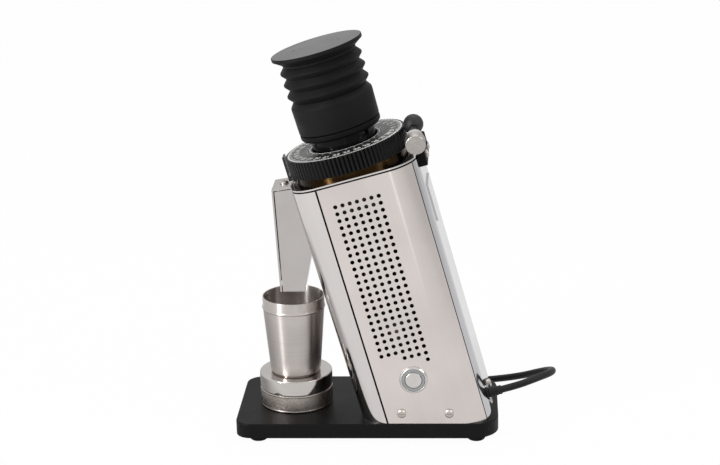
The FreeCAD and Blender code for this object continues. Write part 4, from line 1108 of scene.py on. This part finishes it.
# Adjusting ring and dial
@dataclass
class GrindDial:
    """Knurled ring, dial face with its scale, thread collar and index plate."""

    ring_radius: float = 54.5
    ring_low: float = -16.5
    ring_bore: float = 30.0
    ring_roof: float = 3.5
    skirt: float = 50.4
    grooves: int = 90
    groove_deep: float = 1.3
    groove_power: float = 2.2
    groove_columns: int = 10
    groove_fade: tuple[float, float] = (0.6, 0.9)
    ring_easing: float = 0.5
    dial_inner: float = 31.0
    dial_outer: float = 52.6
    dial_thick: float = 0.6
    dial_gap: float = 0.05
    mark_high: float = 0.04
    outer_circle: tuple[float, float] = (51.1, 52.5)
    inner_circle: tuple[float, float] = (31.4, 32.5)
    fine_strokes: Point = (49.0, 51.5, 0.5)
    long_strokes: Point = (47.8, 51.5, 0.8)
    inner_strokes: Point = (34.0, 36.4, 0.7)
    numbers: int = 30
    strokes: int = 5
    number_size: float = 6.6
    number_steps: int = 4
    number_bold: float = 0.16
    number_reach: float = 44.6

    def build(self) -> None:
        """Makes the ring, the dial and its marks, and dresses what holds them."""
        self.build_ring()
        self.build_face()
        self.build_marks()
        # The collar's dark brass is painted shade under the ring.
        dress(BRASS_PAINTED_SHADE, "thread_collar")
        # The index plate's dark steel is painted shade.
        dress(STEEL_PAINTED_SHADE, "index_plate")

    def build_ring(self) -> None:
        """Makes the knurled ring.

        On the outer wall the radius is lowered by the groove's depth times a power of the raised cosine of
        the groove angle, so that ribs are wide and grooves narrow; the lowering fades out over the top edge.
        """
        roof, floor = -self.ring_roof, -self.dial_thick
        line = [(self.ring_bore, roof), (self.skirt, roof), (self.skirt, self.ring_low),
                (self.ring_radius, self.ring_low), (self.ring_radius, 0.0), (self.dial_outer, 0.0),
                (self.dial_outer, floor), (self.dial_inner, floor), (self.dial_inner, 0.0),
                (self.ring_bore, 0.0)]
        profile = eased(line, self.ring_easing, steps=4)
        angle = around(self.grooves * self.groove_columns)
        cut = (0.5 + 0.5 * np.cos(angle * self.grooves)) ** self.groove_power
        start, wide = self.groove_fade
        share = np.clip((profile[:, :1] - self.dial_outer - start) / wide, 0.0, 1.0)
        points = polar(profile[:, :1] - self.groove_deep * share * cut, angle, profile[:, 1:])
        new_piece("adjusting_ring_knurled", Surface.grid(points).placed(LEANING), BLACK_ALUMINIUM,
                  "black_aluminium", "ring", "adjusting_ring")

    def build_face(self) -> None:
        """Makes the dial's plate."""
        inner, outer, low = self.dial_inner + self.dial_gap, self.dial_outer - self.dial_gap, -self.dial_thick
        line = [(inner, low), (outer, low), (outer, 0.0), (inner, 0.0)]
        surface = Surface.lathed(line, easing=0.15, steps=3, segments=180)
        new_piece("dial_plate", surface.placed(LEANING), DIAL_BLACK, "black_aluminium", "ring", "dial_face")

    def band(self, inner: float, outer: float) -> Surface:
        """A thin raised circle of paint between two radii."""
        line = np.array(((inner, 0.0), (outer, 0.0), (outer, self.mark_high), (inner, self.mark_high)))
        return Surface.turned(line, segments=180)

    @staticmethod
    def spun(angle: float) -> Axes:
        """The dial's frame turned so that its first axis points outwards at an angle."""
        x, y = math.cos(angle), math.sin(angle)
        return Axes(ORIGIN, ((x, y, 0.0), (-y, x, 0.0), UP))

    def ticks(self, count: int, inner: float, outer: float, wide: float) -> Surface:
        """Radial strokes of paint at even angles, each a small box.

        Args:
            count: How many go round.
            inner: Radius where they start.
            outer: Radius where they end.
            wide: Their width.

        Returns:
            One surface of all strokes.
        """
        half = wide / 2
        corners = ((inner, -half), (outer, -half), (outer, half), (inner, half))
        points = np.array([(x, y, z) for z in (0.0, self.mark_high) for x, y in corners])
        sides = [[3, 2, 1, 0], [4, 5, 6, 7], [0, 1, 5, 4], [1, 2, 6, 5], [2, 3, 7, 6], [3, 0, 4, 7]]
        return Surface.joined([Surface(points, sides).placed(self.spun(angle)) for angle in around(count)])

    def number(self, text: str, angle: float) -> Surface:
        """A number of paint, its foot outwards.

        Args:
            text: The digits.
            angle: Where it stands on the dial, in radians.

        Returns:
            Its surface in the dial's frame.
        """
        letters = bpy.data.curves.new("digits", "FONT")
        letters.body = text
        letters.size = self.number_size
        letters.align_x = "CENTER"
        letters.align_y = "CENTER"
        letters.extrude = self.mark_high / 2
        letters.offset = self.number_bold
        letters.resolution_u = self.number_steps
        holder = bpy.data.objects.new("digits", letters)
        mesh = bpy.data.meshes.new_from_object(holder)
        flat = np.zeros(len(mesh.vertices) * 3)
        mesh.vertices.foreach_get("co", flat)
        faces = [list(polygon.vertices) for polygon in mesh.polygons]
        bpy.data.objects.remove(holder)
        bpy.data.curves.remove(letters)
        bpy.data.meshes.remove(mesh)
        x, y, z = flat.reshape(-1, 3).T
        local = np.stack((self.number_reach - y, x, z + self.mark_high / 2), axis=-1)
        return Surface(local, faces).placed(self.spun(angle))

    def build_marks(self) -> None:
        """Makes the scale: two circles, fine and long strokes, and plain numbers."""
        marks = [self.band(*self.outer_circle), self.band(*self.inner_circle),
                 self.ticks(self.numbers * self.strokes, *self.fine_strokes),
                 self.ticks(self.numbers, *self.long_strokes), self.ticks(self.numbers, *self.inner_strokes)]
        marks += [self.number(str(step), angle) for step, angle in enumerate(around(self.numbers))]
        new_piece("dial_marks", Surface.joined(marks).placed(LEANING), DIAL_WHITE, "light_grey", "ring")


# Lock lever
@dataclass
class LockLever:
    """Round rubber cam off the pin's centre and a tapered handle, on their bracket."""

    ball_place: Point = (63.1, -10.0, 0.3)
    end_place: Point = (63.6, -52.0, -8.7)
    ball: float = 8.85
    ball_rows: int = 48
    lip_gap: float = 0.7
    lip_edge: tuple[float, float] = (0.4, 0.1)
    lip_deep: float = 0.6
    neck: float = 3.0
    spigot: float = 2.5
    root: float = 3.6
    out: float = 8.6
    drum: float = 8.9
    drum_long: float = 10.4
    drum_edge: float = 0.7
    drum_step: float = 0.1

    def build(self) -> None:
        """Makes the handle and its cam, and dresses the bracket, pin and screws."""
        start = LEANING.points(self.ball_place)
        end = LEANING.points(self.end_place)
        axes = Axes.along(start, end - start)
        self.build_handle(axes, float(np.linalg.norm(end - start)), end)
        self.build_ball(axes)
        dress(MATT_BLACK, "lock_bracket")
        dress(SCREW_STEEL, "lock_screws")
        dress(CHROME, "lever_pin")

    def build_handle(self, axes: Axes, long: float, end: np.ndarray) -> None:
        """Makes the handle: a cone that widens to a short drum with a turned end.

        Args:
            axes: The handle's frame, from the cam's centre.
            long: How far its end stands from there.
            end: The middle of its end.
        """
        seam = long - self.drum_long
        cone = [(0.0, self.root), (self.spigot, self.root), (self.spigot, self.out), (self.neck, self.out),
                (self.drum - self.drum_step, seam), (0.0, seam)]
        surface = Surface.lathed(cone, easing=0.3, steps=4, segments=96).placed(axes)
        new_piece("lever_handle_cone", surface, CHROME, "chrome", "lever", "lock_lever")
        drum = [(0.0, seam), (self.drum, seam), (self.drum, long - self.drum_edge),
                (self.drum - self.drum_edge, long), (0.0, long)]
        surface = Surface.lathed(drum, easing=0.4, steps=5, segments=128).placed(axes)
        # The drum's darker chrome is painted shade.
        new_piece("lever_handle_drum", surface, TURNED_CHROME_PAINTED_SHADE.centred(end), "chrome", "lever", "lock_lever")

    def build_ball(self, axes: Axes) -> None:
        """Makes the cam: a sphere with an eased lip where the handle enters.

        Args:
            axes: The handle's frame, from the cam's centre.
        """
        lip = self.neck + self.lip_gap
        edge, drop = self.lip_edge
        angle = np.linspace(-0.5 * np.pi, math.acos(lip / self.ball), self.ball_rows)[1:]
        wall = self.ball * np.stack((np.cos(angle), np.sin(angle)), axis=-1)
        top = wall[-1, 1]
        profile = np.vstack(((0.0, -self.ball), wall, (lip - edge, top - drop),
                             (lip - self.lip_deep, top - self.lip_deep), (0.0, top - self.lip_deep)))
        surface = Surface.turned(profile, segments=96).placed(axes)
        new_piece("lever_ball_moulded", surface, CAM_RUBBER_PAINTED_LIGHT, "matt_black", "lever", "lever_ball")


# Push button
@dataclass
class PushButton:
    """Bezel, light ring and cap in the near panel."""

    place: Point = (42.8, -55.5, 61.6)
    bezel: float = 12.5
    bezel_edge: float = 0.7
    bezel_bevel: float = 1.1
    high: float = 2.0
    barrel: float = 10.9
    barrel_long: float = 24.0
    bore: float = 7.7
    light: float = 10.2
    light_thick: float = 1.4
    light_gap: float = 0.2
    cap: float = 7.4
    cap_long: float = 12.0
    cap_edge: float = 0.5
    cap_dish: float = 0.35

    def build(self) -> None:
        """Makes the three rings that show and dresses what is behind the panel."""
        axes = Axes.along(self.place, (0.0, -1.0, 0.0))
        bore, light, high = self.bore, self.light, self.high
        sunk = high - self.light_gap
        ledge = sunk - self.light_thick
        steel = BUTTON_STEEL.centred(self.place)
        seat = light + self.light_gap
        bezel = [(bore, -self.barrel_long), (self.barrel, -self.barrel_long), (self.barrel, 0.0),
                 (self.bezel, 0.0), (self.bezel, self.bezel_edge), (self.bezel - self.bezel_bevel, high),
                 (seat, high), (seat, ledge), (bore, ledge)]
        new_piece("button_bezel_turned", Surface.lathed(bezel, easing=0.5, steps=5).placed(axes), steel,
                  "chrome", "frame", "button_bezel")
        ring = [(bore, ledge), (light, ledge), (light, sunk), (bore, sunk)]
        new_piece("button_light_moulded", Surface.lathed(ring, easing=0.3, steps=4).placed(axes), LIGHT_RING,
                  "light_grey", "frame", "button_light")
        low = high - self.cap_long
        cap = [(0.0, low), (self.cap, low), (self.cap, high - self.cap_edge),
               (self.cap - self.cap_edge, high), (0.0, high - self.cap_dish)]
        surface = Surface.lathed(cap, easing=0.4, steps=5, segments=128).placed(axes)
        new_piece("button_cap_turned", surface, steel, "brushed_steel", "button", "button_cap")
        dress(CHROME, "button_nut")
        dress(MATT_BLACK, "switch_body")


# Cup and platform
@dataclass
class CupPlatform:
    """Knurled foot ring, polished platform and the dosing cup on it."""

    x: float = -66.6
    low: float = 19.8
    split: float = 35.4
    level: float = 49.8
    radius: float = 33.2
    bore: float = 22.3
    stem: float = 15.0
    stem_low: float = 20.5
    gap: float = 0.3
    edge: float = 0.8
    under_edge: float = 0.6
    ring_edge: float = 0.5
    knurls: int = 150
    knurl_columns: int = 8
    knurl_rows: int = 48
    knurl_deep: float = 0.2
    knurl_low: float = 21.2
    knurl_high: float = 34.0
    knurl_fade: float = 0.2
    foot: float = 22.9
    foot_hollow: tuple[float, float] = (4.4, 0.3)
    foot_line: Corners = ((-4.0, 0.0), (-2.4, 0.0), (-2.2, 1.0), (-0.6, 1.2), (0.0, 2.2))
    shoulder: float = 28.0
    step: float = 28.8
    rim: float = 28.1
    high: float = 72.5
    step_high: float = 62.5
    step_line: tuple[float, ...] = (-1.2, -0.5, 0.3, 1.1)
    step_inside: float = 1.0
    wall: float = 1.0
    floor: float = 1.5
    floor_edge: float = 2.6
    heel_inside: float = 3.2

    def build(self) -> None:
        """Makes the ring, the platform and the cup, and dresses the post."""
        axes = Axes((self.x, 0.0, 0.0))
        self.build_ring(axes)
        under = self.split + self.gap
        line = [(0.0, self.stem_low), (self.stem, self.stem_low), (self.stem, under),
                (self.radius - self.under_edge, under), (self.radius, under + self.under_edge),
                (self.radius, self.level - self.edge), (self.radius - self.edge, self.level),
                (0.0, self.level)]
        surface = Surface.lathed(line, easing=0.5, steps=5, segments=180).placed(axes)
        new_piece("platform_top_turned", surface, PLATFORM_STEEL.centred(axes.origin), "polished_steel",
                  "platform", "platform_top")
        new_piece("dosing_cup_drawn", self.cup().placed(axes), CUP_STEEL.centred(axes.origin),
                  "brushed_steel", "cup", "dosing_cup")
        dress(STEEL, "platform_post")

    def build_ring(self, axes: Axes) -> None:
        """Makes the foot ring with its diamond knurl.

        On the knurled band the radius is lowered by the depth times the larger of two crossed waves, which
        run up the wall to the left and to the right; plain bands stand above and below.

        Args:
            axes: The platform's frame.
        """
        band = np.linspace(self.knurl_low, self.knurl_high, self.knurl_rows)
        wall = [self.low + self.ring_edge, self.knurl_low - self.knurl_fade, *band,
                self.knurl_high + self.knurl_fade, self.split - self.ring_edge]
        inset = self.radius - self.ring_edge
        profile = np.array([(self.bore, self.low), (inset, self.low),
                            *[(self.radius, height) for height in wall], (inset, self.split),
                            (self.bore, self.split)])
        radius, height = profile[:, :1], profile[:, 1:]
        angle = around(self.knurls * self.knurl_columns)
        turn = self.knurls * angle
        rise = self.knurls * height / self.radius
        first, second = (np.abs(wave / np.pi % 2.0 - 1.0) for wave in (turn + rise, turn - rise))
        margin = self.knurl_fade / 2
        knurled = (height > self.knurl_low - margin) & (height < self.knurl_high + margin)
        lowered = np.where(knurled, self.knurl_deep * np.maximum(first, second), 0.0)
        surface = Surface.grid(polar(radius - lowered, angle, height)).placed(axes)
        new_piece("platform_ring_knurled", surface, KNURLED_STEEL, "brushed_steel", "foot_ring",
                  "platform_ring")

    def cup(self) -> Surface:
        """The cup: a set-in foot, a tapered wall with an eased heel, a rolled step below the rim, its inside.

        Returns:
            The surface in the platform's frame.
        """
        base, foot = self.level, self.foot
        step = base + self.step_high
        top = base + self.high
        floor = base + self.floor
        inner = self.rim - self.wall
        inset, hollow = self.foot_hollow
        below, low, high, above = (step + rise for rise in self.step_line)
        line = [(0.0, base + hollow), (foot - inset, base + hollow),
                *((foot + reach, base + rise) for reach, rise in self.foot_line), (self.shoulder, below),
                (self.step, low), (self.step, high), (self.rim, above), (self.rim, top), (inner, top),
                (inner, step - self.step_inside), (foot - self.wall, base + self.heel_inside),
                (foot - self.floor_edge, floor), (0.0, floor)]
        return Surface.lathed(line, easing=0.45, steps=5, segments=192)


# Base, shell and works
@dataclass
class Footing:
    """Base plate and its rubber feet."""

    x: float = 98.0
    y: float = 43.0
    radius: float = 8.0
    high: float = 6.0
    edge: float = 1.0
    bore: float = 2.2
    recess: float = 3.7
    recess_high: float = 3.5

    def build(self) -> None:
        """Makes the feet and dresses the plate and screws."""
        line = [(self.bore, self.recess_high), (self.recess, self.recess_high), (self.recess, 0.0),
                (self.radius - self.edge, 0.0), (self.radius, self.edge), (self.radius, self.high),
                (self.bore, self.high)]
        foot = Surface.lathed(line, easing=0.5, steps=4, segments=72)
        feet = [foot.placed(Axes((x, y, 0.0))) for x in (-self.x, self.x) for y in (-self.y, self.y)]
        new_piece("feet_moulded", Surface.joined(feet), BLACK_RUBBER, "black_rubber", "frame", "rubber_feet")
        dress(BLACK_METAL, "base_plate")
        dress(CHROME, "foot_screws")


@dataclass
class Housing:
    """Shell, chute, motor, burrs and board: CAD nodes that keep their shape."""

    finishes: tuple[tuple[Finish, tuple[str, ...]], ...] = (
        (POLISHED_STEEL, ("front_cover", "top_plate")),
        (REAR_STEEL_PAINTED_SHADE, ("rear_cover", "rear_plate")),
        (PANEL_STEEL, ("side_panel_near", "side_panel_far")),
        (CHUTE_STEEL, ("chute_wrap", "chute_channel")),
        (SCREW_STEEL, ("pan_screws",)),
        # The works behind the vents, the cast aluminium and the black motor can, are dark to give painted
        # shade inside the shell.
        (CAST_ALUMINIUM_PAINTED_SHADE, ("grinding_chamber", "outlet_throat", "motor_end_cap", "lower_burr_carrier")),
        (STEEL, ("upper_bearing", "lower_bearing", "rotor_shaft", "lower_burr", "upper_burr",
                 "lower_burr_screws", "upper_burr_screws", "spindle_bolt", "base_bracket")),
        (BLACK_METAL, ("motor_can",)),
        (MATT_BLACK, ("motor_fan", "board_parts")),
        (BRASS, ("board_standoffs", "upper_burr_carrier")),
        (BOARD_GREEN, ("control_board",)),
        (CLEAR_FLAP, ("chute_flap",)),
    )

    def build(self) -> None:
        """Dresses the nodes."""
        for finish, nodes in self.finishes:
            dress(finish, *nodes)


def main() -> None:
    """Builds the scene in order."""
    logging.basicConfig(level=logging.INFO, format="%(name)s: %(message)s")
    for assembly in (Viewpoint(), Lead(), Studio(), Footing(), Housing(), BellowsHopper(), GrindDial(),
                     LockLever(), PushButton(), CupPlatform()):
        assembly.build()


if __name__ == "__main__":
    main()
